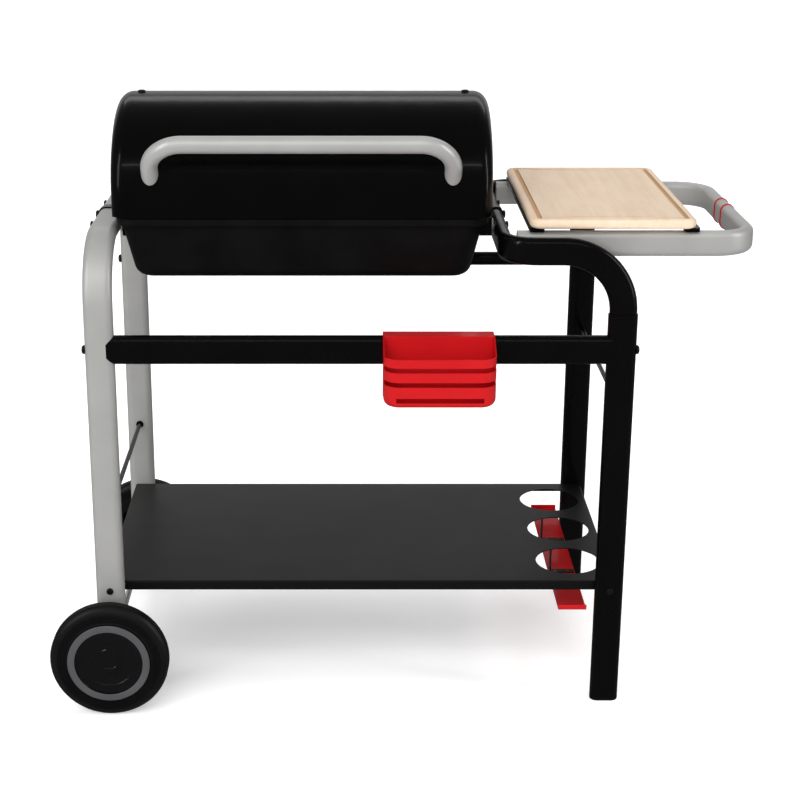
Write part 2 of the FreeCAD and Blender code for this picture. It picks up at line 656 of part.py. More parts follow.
def build_rim(side):
    """Rim ring, web and hub in one moulding."""
    a = WHEEL_INNER
    b = WHEEL_INNER + WHEEL_WIDE
    bore = AXLE_DIAMETER / 2.0 + RUNNING_GAP
    ring = wheel_turn(side, [(a + 3.0, 66.0), (a + 3.0, RIM_RADIUS), (b - 3.0, RIM_RADIUS), (b - 3.0, 66.0)])
    hub = wheel_turn(side, [(a - 1.0, bore), (a - 1.0, 14.0), (b - 14.0, 14.0), (b - 14.0, bore)])
    web = wheel_turn(side, [(a + 16.0, 13.0), (a + 16.0, 67.0), (a + 20.0, 67.0), (a + 20.0, 13.0)])
    wheel = merge([ring, hub, web])
    centre = Y_FRONT if side < 0 else Y_BACK
    cutters = []
    for step in range(6):
        turn = math.radians(60.0 * step + 30.0)
        start = vec(X_LEFT + 41.0 * math.cos(turn), centre + side * (a + 30.0), AXLE_Z + 41.0 * math.sin(turn))
        cutters.append(rod(start, Y_AXIS * -side, 30.0, 26.0))
    return wheel.cut(cutters)


def build_hub_cap(side):
    """Cover disc: a raised flat ring round a shallow bowl."""
    b = WHEEL_INNER + WHEEL_WIDE
    r = RIM_RADIUS
    pairs = [
        (b - 9.0, 65.0), (b - 3.0, 65.0), (b - 3.0, r - 0.5), (b + 1.0, r - 0.5), (b + CAP_PROUD, r - 2.0),
        (b + CAP_PROUD, 57.0), (b - 2.0, 54.0), (b - 6.0, 44.0), (b - 8.0, 30.0), (b - 9.0, 12.0), (b - 9.0, 0.0),
        (b - 11.0, 0.0), (b - 11.0, 12.0), (b - 10.0, 30.0), (b - 8.0, 44.0), (b - 4.5, 55.5), (b - 4.5, 62.0),
        (b - 9.0, 62.0),
    ]
    return wheel_turn(side, pairs)


def build_axle():
    reach = WHEEL_INNER + WHEEL_WIDE - 13.5
    start = vec(X_LEFT, Y_FRONT - reach, AXLE_Z)
    return rod(start, Y_AXIS, LEG_DEPTH + 2 * reach, AXLE_DIAMETER)


def build_axle_bushes():
    """Sleeves that hold the wheels off the legs."""
    bushes = []
    for y, outward in ((Y_FRONT, -1.0), (Y_BACK, 1.0)):
        seat = vec(X_LEFT, y + outward * TUBE_THICK / 2.0, AXLE_Z)
        length = WHEEL_STAND_OFF - 1.5
        bushes.append(washer(seat, Y_AXIS * outward, 18.0, AXLE_DIAMETER, length))
    return bushes


def build_axle_clips():
    """Push-on caps that keep the wheels on the axle."""
    clips = []
    for y, outward in ((Y_FRONT, -1.0), (Y_BACK, 1.0)):
        out = WHEEL_INNER + WHEEL_WIDE - 13.5
        seat = vec(X_LEFT, y + outward * out, AXLE_Z)
        clips.append(rod(seat, Y_AXIS * outward, 1.8, 20.0))
    return clips


# ---------------------------------------------------------------- tub and grates
def rounded_wire(x0, x1, y0, y1, z, radius):
    """Rounded rectangle in a level plane."""
    k = radius * (1.0 - math.sqrt(0.5))
    p = [
        vec(x0 + radius, y0, z), vec(x1 - radius, y0, z), vec(x1, y0 + radius, z), vec(x1, y1 - radius, z),
        vec(x1 - radius, y1, z), vec(x0 + radius, y1, z), vec(x0, y1 - radius, z), vec(x0, y0 + radius, z),
    ]
    mids = [vec(x1 - k, y0 + k, z), vec(x1 - k, y1 - k, z), vec(x0 + k, y1 - k, z), vec(x0 + k, y0 + k, z)]
    edges = []
    for step in range(4):
        a = p[2 * step]
        b = p[2 * step + 1]
        c = p[(2 * step + 2) % 8]
        edges.append(Part.LineSegment(a, b).toShape())
        edges.append(Part.Arc(b, mids[step], c).toShape())
    return Part.Wire(edges)


def level_slab(x0, x1, y0, y1, z0, z1, radius):
    face = Part.Face(rounded_wire(x0, x1, y0, y1, z0, radius))
    return face.extrude(vec(0, 0, z1 - z0))


def tub_section(height, shrink):
    """Plan limits of the tub's outer wall at a height, moved in by a wall."""
    share = (RIM_TOP - height) / TUB_HEIGHT
    dx = BODY_INSET + TUB_TAPER_SIDE * share + shrink
    dy = BODY_INSET + TUB_TAPER_FRONT * share + shrink
    return RIM_LEFT + dx, RIM_RIGHT - dx, RIM_FRONT + dy, RIM_BACK - dy


def tub_body(z0, z1, shrink, corner):
    low = tub_section(z0, shrink)
    high = tub_section(z1, shrink)
    wires = [rounded_wire(*low, z0, corner), rounded_wire(*high, z1, corner)]
    return Part.makeLoft(wires, True, True)


def soften_floor(body, z, radius):
    low = [edge for edge in body.Edges if abs(edge.BoundBox.ZMax - z) < 1e-6]
    return body.makeFillet(radius, low)


def build_tub():
    """Cast tub: leaning walls, rounded floor, flanged rim and a bolting pad at each end."""
    outer = soften_floor(tub_body(TUB_FLOOR, RIM_TOP, 0.0, TUB_CORNER), TUB_FLOOR, TUB_FLOOR_ROUND)
    rim = level_slab(RIM_LEFT, RIM_RIGHT, RIM_FRONT, RIM_BACK, RIM_TOP - TUB_RIM_THICK, RIM_TOP, TUB_CORNER)
    rim_edges = []
    for edge in rim.Edges:
        flat = abs(edge.BoundBox.ZMax - edge.BoundBox.ZMin) < 1e-6
        if flat:
            rim_edges.append(edge)
    rim = rim.makeFillet(3.0, rim_edges)
    solids = [outer, rim]
    boss_half = 15.0
    y0 = TUB_BOLT_YS[0] - boss_half
    y1 = TUB_BOLT_YS[-1] + boss_half
    z0 = LEFT_RUN_Z - boss_half
    z1 = RIM_TOP - TUB_RIM_THICK + 1.0
    solids.append(box(LEFT_INNER + FRAME_GAP, LEFT_INNER + 40.0, y0, y1, z0, z1))
    solids.append(box(RUN_INNER - 50.0, RUN_INNER - FRAME_GAP, y0, y1, z0, z1))
    shell = merge(solids)
    floor = TUB_FLOOR + TUB_WALL
    inner = tub_body(floor, RIM_TOP + 1.0, TUB_WALL, TUB_CORNER - TUB_WALL)
    inner = soften_floor(inner, floor, TUB_FLOOR_ROUND - TUB_WALL)
    shell = shell.cut(inner)
    cutters = []
    for y in TUB_BOLT_YS:
        left = vec(LEFT_INNER, y, LEFT_RUN_Z)
        cutters.append(rod(left, X_AXIS, TUB_BOLT_REACH, TUB_BOLT))
        right = vec(RUN_INNER, y, LEFT_RUN_Z)
        cutters.append(rod(right, X_AXIS * -1.0, TUB_BOLT_REACH + 8.0, TUB_BOLT))
    for x in hinge_xs():
        for offset in HINGE_SCREW_OFFSETS:
            start = vec(x + offset, RIM_BACK + 1.0, TUB_SCREW_Z)
            cutters.append(rod(start, Y_AXIS * -1.0, 8.0, 4.0))
    return shell.cut(cutters)


def build_grate_lugs():
    """Lugs on the tub's long walls that carry the cooking grates and the coal grate."""
    cavity = tub_body(TUB_FLOOR + TUB_WALL, RIM_TOP, TUB_WALL, TUB_CORNER - TUB_WALL)
    lugs = []
    for z in (LEDGE_Z, COAL_LEDGE_Z):
        x0, x1, y0, y1 = tub_section(z, TUB_WALL)
        for x in (x0 + 70.0, TUB_MID_X - 60.0, TUB_MID_X + 60.0, x1 - 70.0):
            front = box(x - 9.0, x + 9.0, y0 - 3.0, y0 + LEDGE_REACH, z - LUG_TALL, z)
            back = box(x - 9.0, x + 9.0, y1 - LEDGE_REACH, y1 + 3.0, z - LUG_TALL, z)
            lugs.append(front.common(cavity))
            lugs.append(back.common(cavity))
    return lugs


def build_tub_washers():
    """Heat washers between tub and side frames."""
    washers = []
    for y in (TUB_BOLT_YS[0], TUB_BOLT_YS[2]):
        left = vec(LEFT_INNER, y, LEFT_RUN_Z)
        washers.append(washer(left, X_AXIS, 22.0, TUB_BOLT + 2 * BOLT_GAP, FRAME_GAP))
        right = vec(RUN_INNER - FRAME_GAP, y, LEFT_RUN_Z)
        washers.append(washer(right, X_AXIS, 22.0, TUB_BOLT + 2 * BOLT_GAP, FRAME_GAP))
    return washers


def build_tub_bolts():
    """Bolts through the side frames into the tub's bosses."""
    bolts = []
    for y in TUB_BOLT_YS:
        under = STRAP_SHEET if y == TUB_MID_Y else 0.0
        left = vec(X_LEFT - TUBE_WIDE / 2.0 - under, y, LEFT_RUN_Z)
        length = TUBE_WIDE + TUB_BOLT_REACH + under
        bolts.append(pan_screw(left, X_AXIS * -1.0, length, TUB_BOLT, 14.0, 4.0))
        right = vec(RUN_OUTER + under, y, LEFT_RUN_Z)
        length = UPPER_THICK + TUB_BOLT_REACH + 8.0 + under
        bolts.append(pan_screw(right, X_AXIS, length, TUB_BOLT, 14.0, 4.0))
    return bolts


def build_tub_straps():
    """Saddle straps over the top of each side frame, held by the middle tub bolts."""
    t = STRAP_SHEET
    y0 = TUB_MID_Y - STRAP_WIDE / 2.0
    sweep = vec(0, STRAP_WIDE, 0)
    low = LEFT_RUN_Z - 10.0
    spans = (
        (vec(X_LEFT, y0, LEFT_RUN_Z), X_AXIS, Z_AXIS, TUBE_WIDE, TUBE_THICK),
        (vec(RUN_X, y0, RUN_Z), Z_AXIS, X_AXIS, UPPER_WIDE, UPPER_THICK),
    )
    straps = []
    for centre, wide_dir, thin_dir, wide, thin in spans:
        outer = oval_face(centre, wide_dir, thin_dir, wide + 2 * t, thin + 2 * t).extrude(sweep)
        core = oval_face(centre, wide_dir, thin_dir, wide, thin).extrude(sweep)
        below = box(centre.x - 60.0, centre.x + 60.0, y0 - 1.0, y0 + STRAP_WIDE + 1.0, low - 60.0, low)
        start = vec(centre.x - 60.0, TUB_MID_Y, LEFT_RUN_Z)
        bore = rod(start, X_AXIS, 120.0, TUB_BOLT + 2 * BOLT_GAP)
        straps.append(outer.cut([core, below, bore]))
    return straps


def wire_grate(x0, x1, y0, y1, z, bar, pitch, rod_size):
    """Welded grate: a round-bar frame, cross bars and close rods on one level."""
    r = bar / 2.0
    pieces = [
        rod(vec(x0, y0 + r, z + r), X_AXIS, x1 - x0, bar),
        rod(vec(x0, y1 - r, z + r), X_AXIS, x1 - x0, bar),
        rod(vec(x0 + r, y0, z + r), Y_AXIS, y1 - y0, bar),
        rod(vec(x1 - r, y0, z + r), Y_AXIS, y1 - y0, bar),
        rod(vec(x0 + r, (y0 + y1) / 2.0, z + r), X_AXIS, x1 - x0 - bar, bar * 0.9),
    ]
    count = int((x1 - x0 - 2 * bar) / pitch)
    step = (x1 - x0 - bar) / (count + 1)
    for index in range(1, count + 1):
        x = x0 + r + step * index
        pieces.append(rod(vec(x, y0 + r, z + r + 1.0), Y_AXIS, y1 - y0 - bar, rod_size))
    return merge(pieces)


def build_cooking_grate(side):
    x0, x1, y0, y1 = tub_section(LEDGE_Z, TUB_WALL)
    clear = GRATE_INSET
    mid = GRATE_GAP / 2.0
    if side < 0:
        span = (x0 + clear, TUB_MID_X - mid)
    else:
        span = (TUB_MID_X + mid, x1 - clear)
    return wire_grate(span[0], span[1], y0 + clear, y1 - clear, LEDGE_Z + 0.4, 6.0, 16.0, 4.0)


def build_coal_grate():
    x0, x1, y0, y1 = tub_section(COAL_LEDGE_Z, TUB_WALL)
    clear = GRATE_INSET
    return wire_grate(x0 + clear, x1 - clear, y0 + clear, y1 - clear, COAL_LEDGE_Z + 0.4, 6.0, 20.0, 5.0)


# ---------------------------------------------------------------- lid
def lid_profile(inset):
    """Lid's side outline: upright skirt with a low arch over it."""
    y0 = LID_FRONT + inset
    y1 = LID_BACK - inset
    z0 = LID_BOTTOM
    z1 = LID_BOTTOM + LID_SKIRT
    mid = vec(0, (y0 + y1) / 2.0, z1)
    half_depth = (y1 - y0) / 2.0
    rise = LID_ARCH - inset
    start = vec(0, y0, z1)
    end = vec(0, y1, z1)
    ellipse = Part.Ellipse(mid + vec(0, half_depth, 0), mid + vec(0, 0, rise), mid)
    curve = Part.ArcOfEllipse(ellipse, 0.0, math.pi)
    edges = [
        Part.LineSegment(vec(0, y0, z0), start).toShape(),
        curve.toShape(),
        Part.LineSegment(end, vec(0, y1, z0)).toShape(),
        Part.LineSegment(vec(0, y1, z0), vec(0, y0, z0)).toShape(),
    ]
    return Part.Face(Part.Wire(edges))


def lid_block(x0, x1, inset):
    face = lid_profile(inset)
    face.translate(vec(x0, 0, 0))
    return face.extrude(vec(x1 - x0, 0, 0))


def round_end(block, x, radius):
    """Round the edges at one end face of a lid block, except along the open bottom."""
    edges = []
    for edge in block.Edges:
        bounds = edge.BoundBox
        at_end = abs(bounds.XMin - x) < 1e-6 and abs(bounds.XMax - x) < 1e-6
        if at_end and bounds.ZMax > LID_BOTTOM + 1.0:
            edges.append(edge)
    return block.makeFillet(radius, edges)


def build_lid_skin():
    """Rolled sheet between the two end panels."""
    x0 = LID_LEFT + LID_END_DEPTH
    x1 = LID_RIGHT - LID_END_DEPTH
    outer = lid_block(x0, x1, 0.0)
    inner = lid_block(x0 - 1.0, x1 + 1.0, LID_WALL)
    low = box(x0 - 2, x1 + 2, LID_FRONT + LID_WALL, LID_BACK - LID_WALL, LID_BOTTOM - 1, LID_BOTTOM + 1)
    skin = outer.cut([inner, low])
    cutters = []
    for x in crest_screw_xs():
        cutters.append(rod(vec(x, TUB_MID_Y, LID_TOP + 6.0), Z_AXIS * -1.0, 12.0, 5.2))
    for x in grip_xs():
        cutters.append(rod(grip_foot(x) - grip_way() * 20.0, grip_way(), 40.0, 8.4))
    for x in hinge_xs():
        for offset in HINGE_SCREW_OFFSETS:
            cutters.append(rod(vec(x + offset, LID_BACK - 10.0, LID_SCREW_Z), Y_AXIS, 20.0, 4.2))
    return skin.cut(cutters)


def build_lid_end(side):
    """Dished end panel with a flange that lies under the skin."""
    if side < 0:
        end = LID_LEFT
        seam = LID_LEFT + LID_END_DEPTH
    else:
        end = LID_RIGHT
        seam = LID_RIGHT - LID_END_DEPTH
    inward = -side
    x0, x1 = sorted((end, seam))
    dish = round_end(lid_block(x0, x1, 0.0), end, LID_END_ROUND)
    f0, f1 = sorted((seam, seam + inward * LID_FLANGE))
    flange = lid_block(f0, f1, LID_WALL + 0.05)
    h0, h1 = sorted((end + inward * LID_WALL, seam + inward * (LID_FLANGE + 1.0)))
    hollow = round_end(lid_block(h0, h1, 2 * LID_WALL + 0.05), end + inward * LID_WALL, LID_END_ROUND - 4.0)
    low_y0 = LID_FRONT + 2 * LID_WALL + 0.05
    low_y1 = LID_BACK - 2 * LID_WALL - 0.05
    low = box(h0, h1, low_y0, low_y1, LID_BOTTOM - 1, LID_BOTTOM + 1)
    panel = merge([dish, flange]).cut([hollow, low])
    x = crest_screw_xs()[0 if side < 0 else 1]
    return panel.cut(rod(vec(x, TUB_MID_Y, LID_TOP - 20.0), Z_AXIS, 30.0, 5.0))


def crest_screw_xs():
    return [LID_LEFT + CREST_SCREW_INSET, LID_RIGHT - CREST_SCREW_INSET]


def build_crest_screws():
    screws = []
    for x in crest_screw_xs():
        screws.append(pan_screw(vec(x, TUB_MID_Y, LID_TOP), Z_AXIS, 9.0, 5.0, 13.0, 3.5))
    return screws


# ---------------------------------------------------------------- lid grip
def grip_xs():
    middle = (LID_LEFT + LID_RIGHT) / 2.0
    return [middle - GRIP_LENGTH / 2.0, middle + GRIP_LENGTH / 2.0]


def grip_way():
    """Direction in which the grip stands off the lid."""
    turn = math.radians(GRIP_ANGLE)
    return vec(0, -math.cos(turn), math.sin(turn))


def grip_foot(x):
    """Point on the lid's arch where a leg of the grip stands."""
    share = (GRIP_FOOT_HEIGHT - LID_SKIRT) / LID_ARCH
    reach = (LID_BACK - LID_FRONT) / 2.0 * math.sqrt(1.0 - share * share)
    return vec(x, TUB_MID_Y - reach, LID_BOTTOM + GRIP_FOOT_HEIGHT)


def grip_leg():
    """Straight part of the grip's leg outside the lid."""
    return GRIP_STAND_OFF - GRIP_DIAMETER / 2.0 - GRIP_BEND - 0.5


def grip_path():
    left, right = grip_xs()
    way = grip_way()
    buried = 30.0
    bar = GRIP_STAND_OFF - GRIP_DIAMETER / 2.0
    return [
        grip_foot(left) - way * buried,
        grip_foot(left) + way * bar,
        grip_foot(right) + way * bar,
        grip_foot(right) - way * buried,
    ]


def lid_core():
    return lid_block(LID_LEFT, LID_RIGHT, 0.0)


def build_lid_grip():
    """Bent round tube whose ends are shaped to the lid's skin."""
    radius = [GRIP_BEND, GRIP_BEND]
    args = (grip_path(), radius, X_AXIS, GRIP_DIAMETER, GRIP_DIAMETER)
    tube = swept_tube(*args, 2.0, round_face)
    return tube.cut(lid_core())


def build_grip_plugs():
    """Threaded plugs in the grip's ends."""
    plugs = []
    for x in grip_xs():
        start = grip_foot(x) - grip_way() * 30.0
        plug = rod(start, grip_way(), 30.0 + grip_leg(), GRIP_DIAMETER - 4.0 - 2 * SPIGOT_GAP)
        bore = rod(start, grip_way(), 30.0 + grip_leg() - 2.0, 8.0)
        plugs.append(plug.cut([lid_core(), bore]))
    return plugs


def build_grip_bolts():
    """Bolts from inside the lid, with a wedge washer against the skin."""
    bolts = []
    inner = lid_block(LID_LEFT, LID_RIGHT, LID_WALL)
    for x in grip_xs():
        way = grip_way()
        shank = rod(grip_foot(x) - way * 26.0, way, 26.0 + grip_leg() - 3.0, 8.0)
        wedge = rod(grip_foot(x) - way * 26.0, way, 60.0, 22.0).common(inner)
        head = rod(grip_foot(x) - way * 31.0, way, 5.0, 14.0)
        bolts.append(merge([shank, wedge, head]))
    return bolts


# ---------------------------------------------------------------- lid hinges
def hinge_xs():
    middle = (LID_LEFT + LID_RIGHT) / 2.0
    return [middle - HINGE_SPACING / 2.0, middle + HINGE_SPACING / 2.0]


def barrel(x0, x1, bore):
    start = vec(x0, HINGE_Y, HINGE_Z)
    return rod(start, X_AXIS, x1 - x0, HINGE_BARREL).cut(rod(start, X_AXIS, x1 - x0, bore))


def build_tub_leaves():
    """Hinge leaves on the back of the tub's rim."""
    leaves = []
    t = 3.0
    for x in hinge_xs():
        x0 = x - BARREL_LENGTH / 2.0
        x1 = x + BARREL_LENGTH / 2.0
        plate = box(x0, x1, RIM_BACK, RIM_BACK + t, RIM_TOP - TUB_RIM_THICK + 1.0, RIM_TOP - 2.0)
        pieces = [plate]
        k0 = x - LID_KNUCKLE / 2.0 - KNUCKLE_GAP
        k1 = x + LID_KNUCKLE / 2.0 + KNUCKLE_GAP
        for a, b in ((x0, k0), (k1, x1)):
            web = box(a, b, RIM_BACK, HINGE_Y, RIM_TOP - 8.0, RIM_TOP - 3.5)
            pieces.append(web.cut(rod(vec(a, HINGE_Y, HINGE_Z), X_AXIS, b - a, HINGE_PIN)))
            pieces.append(barrel(a, b, HINGE_PIN))
        leaf = merge(pieces)
        for offset in HINGE_SCREW_OFFSETS:
            leaf = leaf.cut(rod(vec(x + offset, RIM_BACK - 1.0, TUB_SCREW_Z), Y_AXIS, 6.0, 4.2))
        leaves.append(leaf)
    return leaves


def build_tub_leaf_screws():
    screws = []
    for x in hinge_xs():
        for offset in HINGE_SCREW_OFFSETS:
            seat = vec(x + offset, RIM_BACK, TUB_SCREW_Z)
            screws.append(rod(seat - Y_AXIS * 6.0, Y_AXIS, 9.0, 4.0))
    return screws


def build_lid_leaves():
    """Hinge leaves on the back of the lid's skirt."""
    leaves = []
    t = 2.5
    half = BARREL_LENGTH / 2.0
    bore = HINGE_PIN + 2 * RUNNING_GAP
    for x in hinge_xs():
        plate = box(x - half, x + half, LID_BACK, LID_BACK + t, LID_BOTTOM + 9.0, LID_BOTTOM + 36.0)
        a = x - LID_KNUCKLE / 2.0
        b = x + LID_KNUCKLE / 2.0
        neck = box(a, b, LID_BACK, LID_BACK + t, LID_BOTTOM + 2.0, LID_BOTTOM + 10.0)
        web = box(a, b, LID_BACK, HINGE_Y, LID_BOTTOM + 3.5, LID_BOTTOM + 7.0)
        knuckle = barrel(a, b, bore)
        leaf = merge([plate, neck, web.cut(rod(vec(a, HINGE_Y, HINGE_Z), X_AXIS, b - a, bore)), knuckle])
        for offset in HINGE_SCREW_OFFSETS:
            leaf = leaf.cut(rod(vec(x + offset, LID_BACK - 1.0, LID_SCREW_Z), Y_AXIS, 6.0, 4.2))
        leaves.append(leaf)
    return leaves


def build_lid_leaf_screws():
    screws = []
    for x in hinge_xs():
        for offset in HINGE_SCREW_OFFSETS:
            seat = vec(x + offset, LID_BACK + 2.5, LID_SCREW_Z)
            screws.append(pan_screw(seat, Y_AXIS, 7.0, 4.0, 8.0, 2.4))
    return screws


def build_hinge_pins():
    pins = []
    for x in hinge_xs():
        start = vec(x - BARREL_LENGTH / 2.0, HINGE_Y, HINGE_Z)
        shank = rod(start, X_AXIS, BARREL_LENGTH + 3.0, HINGE_PIN)
        head = rod(start - X_AXIS * 2.0, X_AXIS, 2.0, HINGE_PIN + 4.0)
        pins.append(merge([shank, head]))
    return pins


# ---------------------------------------------------------------- side handle and board
def handle_start():
    """Left end of the side handle, just inside the frame's flat bend."""
    free = RUN_BEND - UPPER_THICK / 2.0 - 1.5
    offset = RUN_BEND - HANDLE_INSET + HANDLE_THICK / 2.0
    return RUN_X + RUN_BEND - math.sqrt(max(free * free - offset * offset, 0.0))


def build_side_handle():
    """Flat-oval tube bent into a U round the wooden board."""
    start = handle_start()
    points = [
        vec(start, HANDLE_FRONT, HANDLE_Z),
        vec(HANDLE_END, HANDLE_FRONT, HANDLE_Z),
        vec(HANDLE_END, HANDLE_BACK, HANDLE_Z),
        vec(start, HANDLE_BACK, HANDLE_Z),
    ]
    radius = [HANDLE_BEND, HANDLE_BEND]
    tube = swept_tube(points, radius, Z_AXIS, HANDLE_TALL, HANDLE_THICK, TUBE_WALL)
    cutters = []
    for x in HANDLE_BOLT_XS:
        for y in (HANDLE_FRONT, HANDLE_BACK):
            start = vec(x, y - HANDLE_THICK, HANDLE_Z)
            cutters.append(rod(start, Y_AXIS, 2 * HANDLE_THICK, HANDLE_BOLT + 2 * BOLT_GAP))
    for x in bearer_xs():
        for y in (HANDLE_FRONT, HANDLE_BACK):
            cutters.append(rod(vec(x, y, HANDLE_Z), Z_AXIS, HANDLE_TALL, 4.2))
    return tube.cut(cutters)


def build_handle_spacers():
    spacers = []
    tube_face = UPPER_THICK / 2.0
    length = HANDLE_INSET - HANDLE_THICK / 2.0 - tube_face
    for x in HANDLE_BOLT_XS:
        for y, inward in ((Y_FRONT, 1.0), (Y_BACK, -1.0)):
            seat = vec(x, y + inward * tube_face, HANDLE_Z)
            spacers.append(washer(seat, Y_AXIS * inward, 16.0, HANDLE_BOLT + 2 * BOLT_GAP, length))
    return spacers


def build_handle_bolts():
    """Bolts from inside the side handle into the frame's horizontal runs."""
    bolts = []
    for x in HANDLE_BOLT_XS:
        for y, inward in ((Y_FRONT, 1.0), (Y_BACK, -1.0)):
            seat = vec(x, y + inward * (HANDLE_INSET + HANDLE_THICK / 2.0), HANDLE_Z)
            length = HANDLE_INSET + HANDLE_THICK / 2.0 - 2.0
            bolts.append(pan_screw(seat, Y_AXIS * inward, length, HANDLE_BOLT, 12.0, 3.5))
    return bolts


def ring_on_handle(y):
    """Thin band round the side handle's right end."""
    centre = vec(HANDLE_END, y, HANDLE_Z)
    outer = oval_face(centre, Z_AXIS, X_AXIS, HANDLE_TALL + 2 * RING_PROUD, HANDLE_THICK + 2 * RING_PROUD)
    inner = oval_face(centre, Z_AXIS, X_AXIS, HANDLE_TALL, HANDLE_THICK)
    sweep = vec(0, RING_WIDE, 0)
    return outer.extrude(sweep).cut(inner.extrude(sweep))


def build_handle_rings():
    start = Y_MID + RING_START
    return [ring_on_handle(start), ring_on_handle(start + RING_PITCH)]


def bearer_xs():
    left = BOARD_LEFT + BEARER_WIDE / 2.0
    return [left, BOARD_LEFT + BOARD_LENGTH - BEARER_WIDE / 2.0 + 6.0]


def build_bearers():
    """Folded strips on the side handle that carry the board."""
    strips = []
    for x in bearer_xs():
        half = BEARER_WIDE / 2.0
        y0 = BOARD_FRONT + BEARER_SET_BACK
        y1 = BOARD_BACK - BEARER_SET_BACK
        outer = rounded_box(x - half, x + half, y0, y1, HANDLE_TOP, BOARD_BOTTOM, 5.0)
        inner = box(x - half + 2.0, x + half - 2.0, y0 + 45.0, y1 - 45.0, HANDLE_TOP - 1.0, BOARD_BOTTOM - 2.0)
        strip = outer.cut(inner)
        for y in (HANDLE_FRONT, HANDLE_BACK):
            strip = strip.cut(rod(vec(x, y, HANDLE_TOP - 1.0), Z_AXIS, 12.0, 4.2))
            strip = strip.cut(rod(vec(x, y, BOARD_BOTTOM - 3.0), Z_AXIS, 6.0, 8.4))
        for y in PEG_YS:
            strip = strip.cut(rod(vec(x, y, HANDLE_TOP - 1.0), Z_AXIS, 12.0, PEG_DIAMETER))
        strips.append(strip)
    return strips


def build_bearer_screws():
    screws = []
    for x in bearer_xs():
        for y in (HANDLE_FRONT, HANDLE_BACK):
            seat = vec(x, y, BOARD_BOTTOM - 3.0)
            screws.append(pan_screw(seat, Z_AXIS, 12.0, 4.0, 8.0, 2.4))
    return screws


def build_board_pegs():
    """Pegs on the bearers that locate the lift-off board."""
    pegs = []
    for x in bearer_xs():
        for y in PEG_YS:
            pegs.append(rod(vec(x, y, BOARD_BOTTOM - 2.0), Z_AXIS, 8.0, PEG_DIAMETER))
    return pegs


def build_board():
    """Board with rounded edges, a juice groove and blind peg holes."""
    x0 = BOARD_LEFT
    x1 = BOARD_LEFT + BOARD_LENGTH
    y0 = BOARD_FRONT
    y1 = BOARD_BACK
    z0 = BOARD_BOTTOM + 0.3
    z1 = z0 + BOARD_THICK
    slab = rounded_box(x0, x1, y0, y1, z0, z1, BOARD_ROUND)
    edges = []
    for edge in slab.Edges:
        if abs(edge.BoundBox.ZMax - edge.BoundBox.ZMin) < 1e-6:
            edges.append(edge)
    slab = slab.makeFillet(BOARD_EDGE, edges)
    gx0 = x0 + GROOVE_INSET
    gx1 = x1 - GROOVE_INSET
    gy0 = y0 + GROOVE_INSET
    gy1 = y1 - GROOVE_INSET
    mid = (gx0 + gx1) / 2.0
    path = [
        Part.LineSegment(vec(gx0, gy1, z1), vec(gx0, gy0, z1)).toShape(),
        Part.Arc(vec(gx0, gy0, z1), vec(mid, gy0 + GROOVE_BOW, z1), vec(gx1, gy0, z1)).toShape(),
        Part.LineSegment(vec(gx1, gy0, z1), vec(gx1, gy1, z1)).toShape(),
        Part.Arc(vec(gx1, gy1, z1), vec(mid, gy1 - GROOVE_BOW, z1), vec(gx0, gy1, z1)).toShape(),
    ]
    line = Part.Wire(path)
    outer = Part.Face(line.makeOffset2D(GROOVE_WIDE / 2.0))
    inner = Part.Face(line.makeOffset2D(-GROOVE_WIDE / 2.0))
    band = outer.cut(inner)
    groove = band.extrude(vec(0, 0, 2.0 * GROOVE_DEEP))
    groove.translate(vec(0, 0, -GROOVE_DEEP))
    slab = slab.cut(groove)
    holes = []
    for x in bearer_xs():
        for y in PEG_YS:
            holes.append(rod(vec(x, y, z0 - 1.0), Z_AXIS, 8.5, PEG_DIAMETER + 1.0))
        for y in (HANDLE_FRONT, HANDLE_BACK):
            holes.append(rod(vec(x, y, z0 - 1.0), Z_AXIS, 1.6, 9.0))
    return slab.cut(holes)


